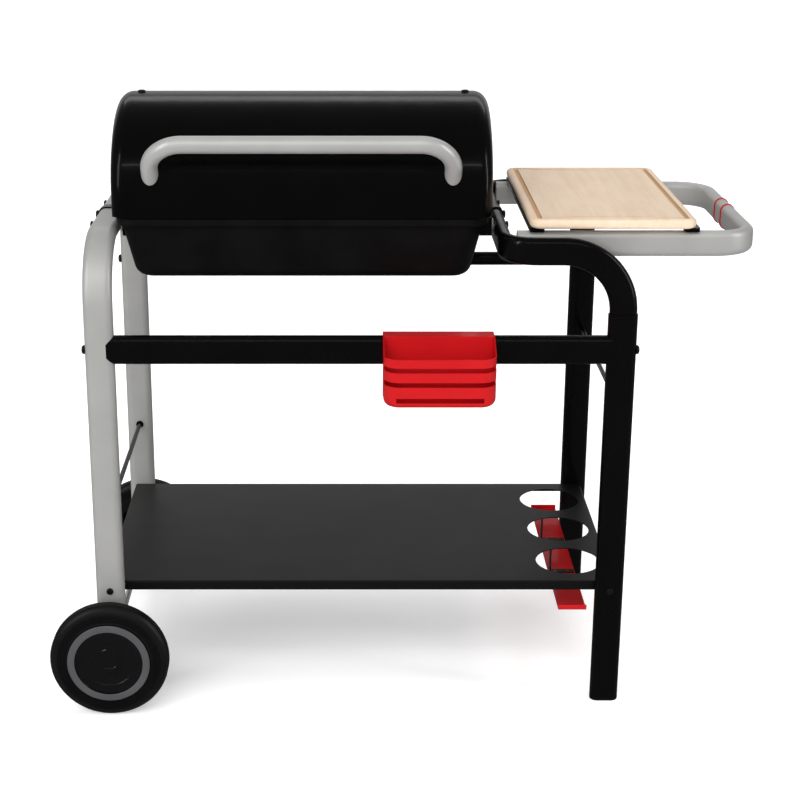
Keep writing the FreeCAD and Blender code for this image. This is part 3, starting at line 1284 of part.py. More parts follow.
# ---------------------------------------------------------------- tool holder
def build_holder():
    """Bent-sheet tray hooked over the front rail, slotted round its front."""
    half = HOLDER_LENGTH / 2.0
    x0 = HOLDER_X - half
    x1 = HOLDER_X + half
    gap = HOLDER_GAP
    rail_top = RAIL_HEIGHT + TUBE_WIDE / 2.0
    back = Y_FRONT - TUBE_THICK / 2.0 - gap
    front = back - HOLDER_REACH
    t = HOLDER_SHEET
    top = rail_top + gap + t
    low = top - HOLDER_DROP
    rim = low + HOLDER_FRONT_TALL
    plate = box(x0, x1, back - t, back, low, top)
    outer = rounded_box(x0, x1, front, back + 40.0, low, rim, HOLDER_ROUND)
    base_edges = [edge for edge in outer.Edges if abs(edge.BoundBox.ZMax - low) < 1e-6]
    outer = outer.makeFillet(12.0, base_edges)
    inner = rounded_box(x0 + t, x1 - t, front + t, back + 60.0, low + t, rim + 10.0, HOLDER_ROUND - t)
    inner_edges = [edge for edge in inner.Edges if abs(edge.BoundBox.ZMax - low - t) < 1e-6]
    inner = inner.makeFillet(10.0, inner_edges)
    keep = box(x0 - 1, x1 + 1, front - 1, back, low - 1, rim + 1)
    tray = outer.cut(inner).common(keep)
    cheeks = []
    for x in (x0, x1 - t):
        p = [vec(x, back, rim), vec(x, front + HOLDER_ROUND, rim), vec(x, back - t - 6.0, top),
             vec(x, back, top)]
        face = Part.Face(Part.makePolygon(p + [p[0]]))
        cheeks.append(face.extrude(vec(t, 0, 0)))
    hook_back = Y_FRONT + TUBE_THICK / 2.0 + gap
    hook_top = box(x0, x1, back - t, hook_back + t, top - t, top)
    hook_lip = box(x0, x1, hook_back, hook_back + t, top - 24.0, top)
    body = merge([plate, tray, hook_top, hook_lip] + cheeks)
    slots = []
    slot_tall = 8.0
    for lift in (0.73 * HOLDER_FRONT_TALL, 0.44 * HOLDER_FRONT_TALL):
        z = low + lift
        slots.append(box(x0 - 2, x1 + 2, front - 2.0, front + HOLDER_ROUND + 4.0, z, z + slot_tall))
    z = low + 0.12 * HOLDER_FRONT_TALL
    slots.append(box(x0 + HOLDER_TRIM, x1 - HOLDER_TRIM, front - 2.0, front + t + 1.0, z, z + slot_tall))
    return body.cut(slots)


# ---------------------------------------------------------------- write every node
def main():
    os.makedirs("parts", exist_ok=True)
    export("left_leg_tube", build_left_leg_tube())
    export("right_top_tube", build_right_top_tube())
    export("right_front_leg", build_right_leg(Y_FRONT))
    export("right_back_leg", build_right_leg(Y_BACK))
    export("right_front_foot", build_right_foot(Y_FRONT))
    export("right_back_foot", build_right_foot(Y_BACK))
    export("left_leg_plugs", build_left_plugs())
    export("front_rail", build_front_rail())
    export("front_rail_plugs", build_rail_plugs())
    export("rear_bar", build_rear_bar())
    export("rear_bar_plugs", build_rear_plugs())
    export("rail_bolts", build_rail_bolts())
    export("left_tie_rod", build_tie_rod(X_LEFT, LEFT_TIE_HEIGHT))
    export("right_tie_rod", build_tie_rod(X_RIGHT, RIGHT_TIE_HEIGHT))
    export("shelf", build_shelf())
    export("shelf_bolts", build_shelf_bolts())
    export("bottle_cradle", build_cradle())
    export("cradle_hangers", build_cradle_hangers())
    export("cradle_rivets", build_cradle_rivets())
    export("axle", build_axle())
    export("axle_bushes", build_axle_bushes())
    export("axle_clips", build_axle_clips())
    for name, side in (("front", -1.0), ("back", 1.0)):
        export(name + "_tyre", build_tyre(side))
        export(name + "_wheel_rim", build_rim(side))
        export(name + "_hub_cap", build_hub_cap(side))
    export("tub", build_tub())
    export("grate_lugs", build_grate_lugs())
    export("tub_washers", build_tub_washers())
    export("tub_bolts", build_tub_bolts())
    export("tub_straps", build_tub_straps())
    export("cooking_grate_left", build_cooking_grate(-1))
    export("cooking_grate_right", build_cooking_grate(1))
    export("coal_grate", build_coal_grate())
    export("lid_skin", build_lid_skin())
    export("lid_end_left", build_lid_end(-1))
    export("lid_end_right", build_lid_end(1))
    export("lid_crest_screws", build_crest_screws())
    export("lid_grip", build_lid_grip())
    export("lid_grip_plugs", build_grip_plugs())
    export("lid_grip_bolts", build_grip_bolts())
    export("tub_hinge_leaves", build_tub_leaves())
    export("tub_hinge_screws", build_tub_leaf_screws())
    export("lid_hinge_leaves", build_lid_leaves())
    export("lid_hinge_screws", build_lid_leaf_screws())
    export("hinge_pins", build_hinge_pins())
    export("side_handle", build_side_handle())
    export("side_handle_spacers", build_handle_spacers())
    export("side_handle_bolts", build_handle_bolts())
    export("side_handle_rings", build_handle_rings())
    export("board_bearers", build_bearers())
    export("board_bearer_screws", build_bearer_screws())
    export("board_pegs", build_board_pegs())
    export("board", build_board())
    export("tool_holder", build_holder())


main()
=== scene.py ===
import json
import logging
import math
from dataclasses import dataclass, field
from enum import Enum
from typing import Optional, Sequence

import bpy
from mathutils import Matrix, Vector

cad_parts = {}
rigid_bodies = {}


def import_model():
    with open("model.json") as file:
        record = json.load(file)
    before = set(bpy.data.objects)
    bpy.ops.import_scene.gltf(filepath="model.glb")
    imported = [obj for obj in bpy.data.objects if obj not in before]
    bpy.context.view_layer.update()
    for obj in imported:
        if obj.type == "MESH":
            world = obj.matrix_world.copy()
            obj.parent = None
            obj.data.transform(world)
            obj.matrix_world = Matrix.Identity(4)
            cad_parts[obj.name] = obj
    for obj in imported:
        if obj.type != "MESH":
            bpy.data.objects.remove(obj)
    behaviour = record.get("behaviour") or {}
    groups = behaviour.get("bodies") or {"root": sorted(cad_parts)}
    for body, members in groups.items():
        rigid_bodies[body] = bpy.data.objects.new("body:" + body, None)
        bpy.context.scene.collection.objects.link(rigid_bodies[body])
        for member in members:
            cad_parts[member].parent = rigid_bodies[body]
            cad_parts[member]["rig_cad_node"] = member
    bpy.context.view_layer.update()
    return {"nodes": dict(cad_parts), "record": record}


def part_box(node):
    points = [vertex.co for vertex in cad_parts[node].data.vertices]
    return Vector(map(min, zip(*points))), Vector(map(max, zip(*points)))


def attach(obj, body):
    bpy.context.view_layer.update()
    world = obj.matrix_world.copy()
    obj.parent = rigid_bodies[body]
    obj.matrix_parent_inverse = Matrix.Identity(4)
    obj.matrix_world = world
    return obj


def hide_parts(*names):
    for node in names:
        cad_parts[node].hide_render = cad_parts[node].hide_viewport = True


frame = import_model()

LOG = logging.getLogger("barbecue_trolley")
MM = 0.001
FLOOR_SIZE = 60.0
MERGE_DISTANCE = 0.002 * MM
FLAT_ANGLE = math.radians(0.2)
EDGE_ANGLE = math.radians(38.0)
SUN_SPREAD = math.radians(60.0)
SENSOR_WIDTH = 36.0
Colour = tuple[float, float, float]


# ------------------------------------------------------------------------------ finishes
class NodeBench:
    """A material's node tree with short ways to add and join nodes."""

    def __init__(self, name: str) -> None:
        """Start an empty material with one Principled shader.

        Args:
            name: the material's name.
        """
        self.material = bpy.data.materials.new(name)
        self.material.use_nodes = True
        self.tree = self.material.node_tree
        self.tree.nodes.clear()
        self.shader = self.add("ShaderNodeBsdfPrincipled")
        output = self.add("ShaderNodeOutputMaterial")
        self.join(self.shader.outputs["BSDF"], output.inputs["Surface"])
        self.place = self.add("ShaderNodeTexCoord").outputs["Object"]

    def add(self, kind: str, **settings: object) -> bpy.types.Node:
        """Add a node and set its plain properties.

        Args:
            kind: the node's Blender type name.
            **settings: properties of the node.

        Returns:
            The new node.
        """
        node = self.tree.nodes.new(kind)
        for key, value in settings.items():
            setattr(node, key, value)
        return node

    def join(self, start: bpy.types.NodeSocket, end: bpy.types.NodeSocket) -> None:
        """Link an output to an input.

        Args:
            start: the output socket.
            end: the input socket.
        """
        self.tree.links.new(start, end)

    def mapped(self, scale: Sequence[float], move: Sequence[float] = (0, 0, 0)) -> bpy.types.NodeSocket:
        """Object coordinates stretched and moved.

        Args:
            scale: factor along each axis.
            move: shift in metres, before scaling.

        Returns:
            The vector socket.
        """
        shift = self.add("ShaderNodeVectorMath", operation="ADD")
        self.join(self.place, shift.inputs[0])
        shift.inputs[1].default_value = move
        stretch = self.add("ShaderNodeVectorMath", operation="MULTIPLY")
        self.join(shift.outputs[0], stretch.inputs[0])
        stretch.inputs[1].default_value = scale
        return stretch.outputs[0]

    def noise(self, vector: bpy.types.NodeSocket, scale: float, detail: float = 3.0) -> bpy.types.NodeSocket:
        """Cloudy noise from 0 to 1.

        Args:
            vector: where it is read.
            scale: cells per metre of the vector.
            detail: number of finer layers.

        Returns:
            The value socket.
        """
        node = self.add("ShaderNodeTexNoise")
        node.inputs["Scale"].default_value = scale
        node.inputs["Detail"].default_value = detail
        self.join(vector, node.inputs["Vector"])
        return node.outputs["Fac"]

    def between(self, value: bpy.types.NodeSocket, low: float, high: float,
                start: float = 0.3, end: float = 0.7) -> bpy.types.NodeSocket:
        """Map a value from one span to another.

        Args:
            value: the input.
            low: result at start.
            high: result at end.
            start: lower end of the input span.
            end: upper end of the input span.

        Returns:
            The value socket.
        """
        node = self.add("ShaderNodeMapRange")
        self.join(value, node.inputs["Value"])
        for key, number in (("From Min", start), ("From Max", end), ("To Min", low), ("To Max", high)):
            node.inputs[key].default_value = number
        return node.outputs["Result"]

    def blend(self, share: bpy.types.NodeSocket, first: Colour, second: Colour) -> bpy.types.NodeSocket:
        """Mix two plain colours by a share.

        Args:
            share: 0 for the first colour and 1 for the second.
            first: linear colour.
            second: linear colour.

        Returns:
            The colour socket.
        """
        node = self.add("ShaderNodeMix", data_type="RGBA")
        node.inputs[6].default_value = (*first, 1.0)
        node.inputs[7].default_value = (*second, 1.0)
        self.join(share, node.inputs[0])
        return node.outputs[2]

    def multiply(self, colour: bpy.types.NodeSocket, share: bpy.types.NodeSocket) -> bpy.types.NodeSocket:
        """Scale a colour by a value.

        Args:
            colour: the colour socket.
            share: the factor, 1 to leave it as it is.

        Returns:
            The colour socket.
        """
        node = self.add("ShaderNodeVectorMath", operation="SCALE")
        self.join(colour, node.inputs[0])
        self.join(share, node.inputs["Scale"])
        return node.outputs[0]

    def bump(self, height: bpy.types.NodeSocket, strength: float, depth: float,
             under: Optional[bpy.types.NodeSocket] = None) -> bpy.types.NodeSocket:
        """Turn a height into a normal.

        Args:
            height: value from 0 to 1.
            strength: share of the effect.
            depth: height in metres.
            under: a normal that this one adds to.

        Returns:
            The normal socket.
        """
        node = self.add("ShaderNodeBump")
        node.inputs["Strength"].default_value = strength
        node.inputs["Distance"].default_value = depth
        self.join(height, node.inputs["Height"])
        if under is not None:
            self.join(under, node.inputs["Normal"])
        return node.outputs["Normal"]


@dataclass(frozen=True)
class Finish:
    """A surface finish with mottled colour, uneven gloss and fine texture.

    Attributes:
        slot: the record's material slot.
        colour: linear base colour.
        metallic: 0 for paint and plastic, 1 for bare metal.
        roughness: middle roughness.
        swing: how far the roughness wanders.
        shine: strength of the plain mirror reflection, 0.5 for most solids.
        coat: weight of a clear gloss coat.
        coat_roughness: roughness of that coat.
        mottle: share by which the colour wanders.
        cloud: size of the wandering, in cells per metre.
        grain: size of the fine texture, in cells per metre.
        stretch: the fine texture's factor along each axis.
        depth: height of the fine texture in metres.
        strength: share of the fine texture's effect.
    """

    slot: str
    colour: Colour
    metallic: float = 0.0
    roughness: float = 0.4
    swing: float = 0.06
    shine: float = 0.5
    coat: float = 0.0
    coat_roughness: float = 0.05
    mottle: float = 0.12
    cloud: float = 14.0
    grain: float = 600.0
    stretch: Colour = (1.0, 1.0, 1.0)
    depth: float = 0.00008
    strength: float = 0.35

    def build(self) -> bpy.types.Material:
        """Make the Blender material.

        Returns:
            The material.
        """
        bench = NodeBench(self.slot)
        bench.shader.inputs["Metallic"].default_value = self.metallic
        bench.shader.inputs["Specular IOR Level"].default_value = self.shine
        bench.shader.inputs["Coat Weight"].default_value = self.coat
        bench.shader.inputs["Coat Roughness"].default_value = self.coat_roughness
        cloud = bench.noise(bench.mapped((1.0, 1.0, 1.0)), self.cloud, 4.0)
        low = self.roughness - self.swing
        high = self.roughness + self.swing
        bench.join(bench.between(cloud, low, high), bench.shader.inputs["Roughness"])
        bench.join(self.tint(bench, cloud), bench.shader.inputs["Base Color"])
        bench.join(self.relief(bench), bench.shader.inputs["Normal"])
        return bench.material

    def tint(self, bench: NodeBench, cloud: bpy.types.NodeSocket) -> bpy.types.NodeSocket:
        """Base colour over the surface.

        Args:
            bench: the node tree.
            cloud: slow noise.

        Returns:
            The colour socket.
        """
        dark = tuple(part * (1.0 - self.mottle) for part in self.colour)
        light = tuple(min(part * (1.0 + self.mottle), 1.0) for part in self.colour)
        return bench.blend(bench.between(cloud, 0.0, 1.0), dark, light)

    def relief(self, bench: NodeBench) -> bpy.types.NodeSocket:
        """Fine texture as a normal.

        Args:
            bench: the node tree.

        Returns:
            The normal socket.
        """
        fine = bench.noise(bench.mapped(self.stretch), self.grain, 2.0)
        return bench.bump(fine, self.strength, self.depth)


@dataclass(frozen=True)
class CastFinish(Finish):
    """A cast surface: coarse sand texture under a fine one.

    Attributes:
        sand: size of the coarse texture, in cells per metre.
        sand_depth: height of the coarse texture in metres.
    """

    sand: float = 260.0
    sand_depth: float = 0.0005

    def relief(self, bench: NodeBench) -> bpy.types.NodeSocket:
        """Coarse and fine texture together.

        Args:
            bench: the node tree.

        Returns:
            The normal socket.
        """
        coarse = bench.noise(bench.mapped((1.0, 1.0, 1.0)), self.sand, 4.0)
        first = bench.bump(coarse, 0.5, self.sand_depth)
        fine = bench.noise(bench.mapped(self.stretch), self.grain, 2.0)
        return bench.bump(fine, self.strength, self.depth, first)


@dataclass(frozen=True)
class BeechFinish(Finish):
    """Oiled beech glued from staves, with growth lines, short dark pores and painted shade in the juice
    groove.

    Attributes:
        stave: width of one stave in metres.
        late: colour of the darker late wood.
        pore: colour of the pores.
        oiled: darker orange-brown colour painted on the bottom of the juice groove as painted shade.
        top: height of the board's upper face in metres.
    """

    stave: float = 0.052
    late: Colour = (0.575, 0.437, 0.315)
    pore: Colour = (0.43, 0.3, 0.19)
    # painted shade colour for the groove's floor
    oiled: Colour = (0.4, 0.225, 0.1)
    top: float = 0.0

    def tint(self, bench: NodeBench, cloud: bpy.types.NodeSocket) -> bpy.types.NodeSocket:
        """Wood colour from staves, growth lines and pores, with painted shade on the groove's floor.

        Args:
            bench: the node tree.
            cloud: slow noise.

        Returns:
            The colour socket.
        """
        split = bench.add("ShaderNodeSeparateXYZ")
        bench.join(bench.mapped((1.0 / self.stave, 1.0, 1.0)), split.inputs[0])
        number = bench.add("ShaderNodeMath", operation="FLOOR")
        bench.join(split.outputs[0], number.inputs[0])
        chance = bench.add("ShaderNodeTexWhiteNoise", noise_dimensions="1D")
        bench.join(number.outputs[0], chance.inputs["W"])
        offset = bench.add("ShaderNodeVectorMath", operation="SCALE")
        bench.join(chance.outputs["Color"], offset.inputs[0])
        offset.inputs["Scale"].default_value = 3.0
        moved = bench.add("ShaderNodeVectorMath", operation="ADD")
        bench.join(bench.mapped((1.0, 0.09, 1.0)), moved.inputs[0])
        bench.join(offset.outputs[0], moved.inputs[1])
        growth = bench.noise(moved.outputs[0], 70.0, 5.0)
        pores = bench.noise(bench.mapped((1.0, 0.05, 1.0)), 900.0, 1.0)
        wood = bench.blend(bench.between(growth, 0.0, 1.0, 0.38, 0.66), self.colour, self.late)
        stave_tone = bench.between(chance.outputs["Value"], 0.95, 1.02, 0.0, 1.0)
        toned = bench.multiply(wood, stave_tone)
        marks = bench.add("ShaderNodeMix", data_type="RGBA")
        bench.join(bench.between(pores, 0.0, 0.5, 0.66, 0.76), marks.inputs[0])
        bench.join(toned, marks.inputs[6])
        marks.inputs[7].default_value = (*self.pore, 1.0)
        # painted shade: the groove's floor is mixed towards a darker orange-brown colour
        groove_shaded = bench.add("ShaderNodeMix", data_type="RGBA")
        bench.join(self.groove(bench), groove_shaded.inputs[0])
        bench.join(marks.outputs[2], groove_shaded.inputs[6])
        groove_shaded.inputs[7].default_value = (*self.oiled, 1.0)
        return groove_shaded.outputs[2]

    def groove(self, bench: NodeBench) -> bpy.types.NodeSocket:
        """Find the bottom of the groove, where painted shade goes: faces that look up but lie below the
        upper face.

        Args:
            bench: the node tree.

        Returns:
            A value socket, 1 in the groove and 0 elsewhere.
        """
        place = bench.add("ShaderNodeSeparateXYZ")
        bench.join(bench.place, place.inputs[0])
        way = bench.add("ShaderNodeSeparateXYZ")
        bench.join(bench.add("ShaderNodeNewGeometry").outputs["True Normal"], way.inputs[0])
        below = bench.between(place.outputs[2], 1.0, 0.0, self.top - 2.6 * MM, self.top - 1.6 * MM)
        looks_up = bench.between(way.outputs[2], 0.0, 1.0, 0.9, 0.98)
        both = bench.add("ShaderNodeMath", operation="MULTIPLY")
        bench.join(below, both.inputs[0])
        bench.join(looks_up, both.inputs[1])
        return both.outputs[0]

    def relief(self, bench: NodeBench) -> bpy.types.NodeSocket:
        """Raised grain and pores.

        Args:
            bench: the node tree.

        Returns:
            The normal socket.
        """
        lines = bench.noise(bench.mapped((1.0, 0.06, 1.0)), self.grain, 3.0)
        return bench.bump(lines, self.strength, self.depth)


class Coating(Enum):
    """The trolley's finishes, each with its slot in the record."""

    SILVER_TUBE = Finish("silver_tube", (0.42, 0.417, 0.404), metallic=0.5, roughness=0.4, swing=0.05,
                         mottle=0.05, grain=900.0, stretch=(1.0, 0.06, 0.06), depth=0.00003, strength=0.3)
    GRIP_SILVER = Finish("grip_silver", (0.46, 0.457, 0.447), metallic=0.5, roughness=0.36, swing=0.05,
                         mottle=0.04, grain=1200.0, stretch=(0.03, 1.0, 1.0), depth=0.00003, strength=0.3)
    BLACK_TUBE = Finish("black_tube", (0.0009, 0.0009, 0.001), roughness=0.26, shine=0.14, coat=0.22,
                        coat_roughness=0.06, grain=420.0, depth=0.0001, strength=0.15)
    BLACK_SHEET = Finish("black_sheet", (0.003, 0.003, 0.0031), roughness=0.42, swing=0.015, shine=0.26,
                         mottle=0.04, grain=1400.0, depth=0.0001, strength=0.35)
    CAST_BLACK = CastFinish("cast_black", (0.0022, 0.0022, 0.0024), roughness=0.5, swing=0.1, shine=0.2,
                            mottle=0.3, grain=1500.0, depth=0.0001, strength=0.4)
    LID_ENAMEL = Finish("lid_enamel", (0.0008, 0.0008, 0.0009), roughness=0.24, swing=0.03, shine=0.12,
                        coat=0.12, coat_roughness=0.06, grain=260.0, depth=0.0001, strength=0.1)
    RED_PAINT = Finish("red_paint", (0.4, 0.0035, 0.0055), roughness=0.34, swing=0.04, shine=0.16, coat=0.2,
                       coat_roughness=0.06, mottle=0.06, grain=380.0, depth=0.0001, strength=0.2)
    RED_BAND = Finish("red_band", (0.36, 0.004, 0.006), roughness=0.3, shine=0.16, coat=0.2, mottle=0.05)
    TYRE_BLACK = Finish("tyre_black", (0.003, 0.003, 0.0031), roughness=0.4, swing=0.08, shine=0.4,
                        mottle=0.25, grain=900.0, depth=0.00015, strength=0.5)
    WHEEL_BLACK = Finish("wheel_black", (0.0016, 0.0016, 0.0019), roughness=0.2, swing=0.04, shine=0.5,
                         grain=1100.0, depth=0.00008, strength=0.35)
    HUB_GREY = Finish("hub_grey", (0.055, 0.055, 0.058), roughness=0.34, swing=0.05, shine=0.3,
                      grain=1000.0, depth=0.00005, strength=0.3)
    BEECH = BeechFinish("beech", (0.62, 0.487, 0.37), roughness=0.46, swing=0.06, shine=0.25, grain=700.0,
                        depth=0.00006, strength=0.25, top=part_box("board")[1].z)
    BLACK_PLASTIC = Finish("black_plastic", (0.0025, 0.0025, 0.0027), roughness=0.48, shine=0.18,
                           grain=1300.0, depth=0.0001, strength=0.5)
    BLACK_FIXINGS = Finish("black_fixings", (0.003, 0.003, 0.0032), roughness=0.34, swing=0.08, shine=0.3,
                           mottle=0.3, grain=1600.0, depth=0.00006)
    ZINC_FIXINGS = Finish("zinc_fixings", (0.5, 0.5, 0.49), metallic=0.8, roughness=0.32, swing=0.08,
                          mottle=0.12, cloud=160.0, grain=1600.0, depth=0.00004)
    GRATE_STEEL = Finish("grate_steel", (0.5, 0.49, 0.47), metallic=0.8, roughness=0.24, swing=0.07,
                         mottle=0.15, cloud=60.0, grain=1200.0, depth=0.00005)


class PaintShop:
    """Makes each finish's material once and hands it out."""

    def __init__(self) -> None:
        """Start with no materials made."""
        self.made: dict[str, bpy.types.Material] = {}

    def material(self, coating: Coating) -> bpy.types.Material:
        """The Blender material of a finish.

        Args:
            coating: which finish.

        Returns:
            The material, made at its first use.
        """
        if coating.name not in self.made:
            self.made[coating.name] = coating.value.build()
        return self.made[coating.name]

    def dress(self, piece: bpy.types.Object, coating: Coating) -> None:
        """Give a piece one finish all over, in a material named after its slot in the record.

        Args:
            piece: the object to dress.
            coating: which finish.
        """
        if not piece.material_slots:
            piece.data.materials.append(self.material(coating))
        for holder in piece.material_slots:
            holder.material = self.material(coating)


# ------------------------------------------------------------------------------ workshop
@dataclass
class Workshop:
    """Shared ways to make meshes with Blender's operators.

    Attributes:
        paint: where materials come from.
    """

    paint: PaintShop

    @staticmethod
    def alone(piece: bpy.types.Object) -> None:
        """Select one object only and make it the active one.

        Args:
            piece: the object.
        """
        bpy.ops.object.select_all(action="DESELECT")
        piece.select_set(True)
        bpy.context.view_layer.objects.active = piece

    def smooth(self, piece: bpy.types.Object, degrees: float = 32.0) -> None:
        """Shade a piece smooth but keep edges sharper than an angle.

        Args:
            piece: the object.
            degrees: angle above which an edge stays sharp.
        """
        self.alone(piece)
        bpy.ops.object.shade_smooth_by_angle(angle=math.radians(degrees))

    def settle(self, piece: bpy.types.Object) -> None:
        """Move a piece's place into its mesh.

        Args:
            piece: the object.
        """
        self.alone(piece)
        bpy.ops.object.transform_apply(location=True, rotation=True, scale=True)

    def finish(self, piece: bpy.types.Object, body: str, coating: Coating, nodes: Sequence[str]) -> None:
        """Dress a finished piece, put it on its body and let it stand for its nodes.

        Args:
            piece: the object.
            body: name of the body it rides on.
            coating: its finish.
            nodes: the CAD nodes it stands for.
        """
        self.paint.dress(piece, coating)
        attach(piece, body)
        if nodes:
            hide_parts(*nodes)
        LOG.info("%s rides on %s", piece.name, body)

    def refined(self, node: str, body: str, coating: Coating, soften: float = 0.0) -> bpy.types.Object:
        """Make a clean, smooth-shaded piece with softened edges from a node's shape.

        Args:
            node: the CAD node it stands for.
            body: the body it rides on.
            coating: its finish.
            soften: width of the softened edges in metres.

        Returns:
            The new piece.
        """
        source = frame["nodes"][node]
        piece = bpy.data.objects.new(node + "_finished", source.data.copy())
        bpy.context.scene.collection.objects.link(piece)
        self.alone(piece)
        if piece.data.has_custom_normals:
            bpy.ops.mesh.customdata_custom_splitnormals_clear()
        bpy.ops.object.mode_set(mode="EDIT")
        bpy.ops.mesh.select_all(action="SELECT")
        bpy.ops.mesh.remove_doubles(threshold=MERGE_DISTANCE)
        bpy.ops.mesh.dissolve_limited(angle_limit=FLAT_ANGLE)
        bpy.ops.mesh.select_all(action="DESELECT")
        bpy.ops.object.mode_set(mode="OBJECT")
        self.smooth(piece)
        if soften > 0.0:
            edge = piece.modifiers.new("softened_edges", "BEVEL")
            edge.width = soften
            edge.segments = 2
            edge.limit_method = "ANGLE"
            edge.angle_limit = EDGE_ANGLE
            edge.harden_normals = True
            bpy.ops.object.modifier_apply(modifier=edge.name)
        self.finish(piece, body, coating, [node])
        return piece

    def turned(self, name: str, centre: Vector, profile: Sequence[tuple[float, float]],
               facets: int = 128) -> bpy.types.Object:
        """Turn a ring-shaped or disc-shaped piece about an axis along Y.

        Args:
            name: the piece's name.
            centre: a point on the axis.
            profile: closed outline as pairs of distance along Y from the centre and radius.
            facets: number of flats round the turn.

        Returns:
            The new piece.
        """
        along, radius = profile[0]
        start = centre + Vector((0.0, along, 0.0))
        bpy.ops.object.select_all(action="DESELECT")
        bpy.ops.mesh.primitive_circle_add(vertices=facets, radius=radius, fill_type="NOTHING",
                                          location=start, rotation=(math.pi / 2.0, 0.0, 0.0))
        piece = bpy.context.active_object
        piece.name = name
        bpy.ops.object.mode_set(mode="EDIT")
        bpy.ops.mesh.select_all(action="SELECT")
        for next_along, next_radius in list(profile[1:]) + [profile[0]]:
            step = (0.0, next_along - along, 0.0)
            bpy.ops.mesh.extrude_region_move(TRANSFORM_OT_translate={"value": step})
            ratio = next_radius / radius
            bpy.ops.transform.resize(value=(ratio, 1.0, ratio))
            along, radius = next_along, next_radius
        bpy.ops.mesh.select_all(action="SELECT")
        bpy.ops.mesh.remove_doubles(threshold=0.005 * MM)
        bpy.ops.mesh.normals_make_consistent(inside=False)
        bpy.ops.object.mode_set(mode="OBJECT")
        self.settle(piece)
        self.smooth(piece, 40.0)
        return piece


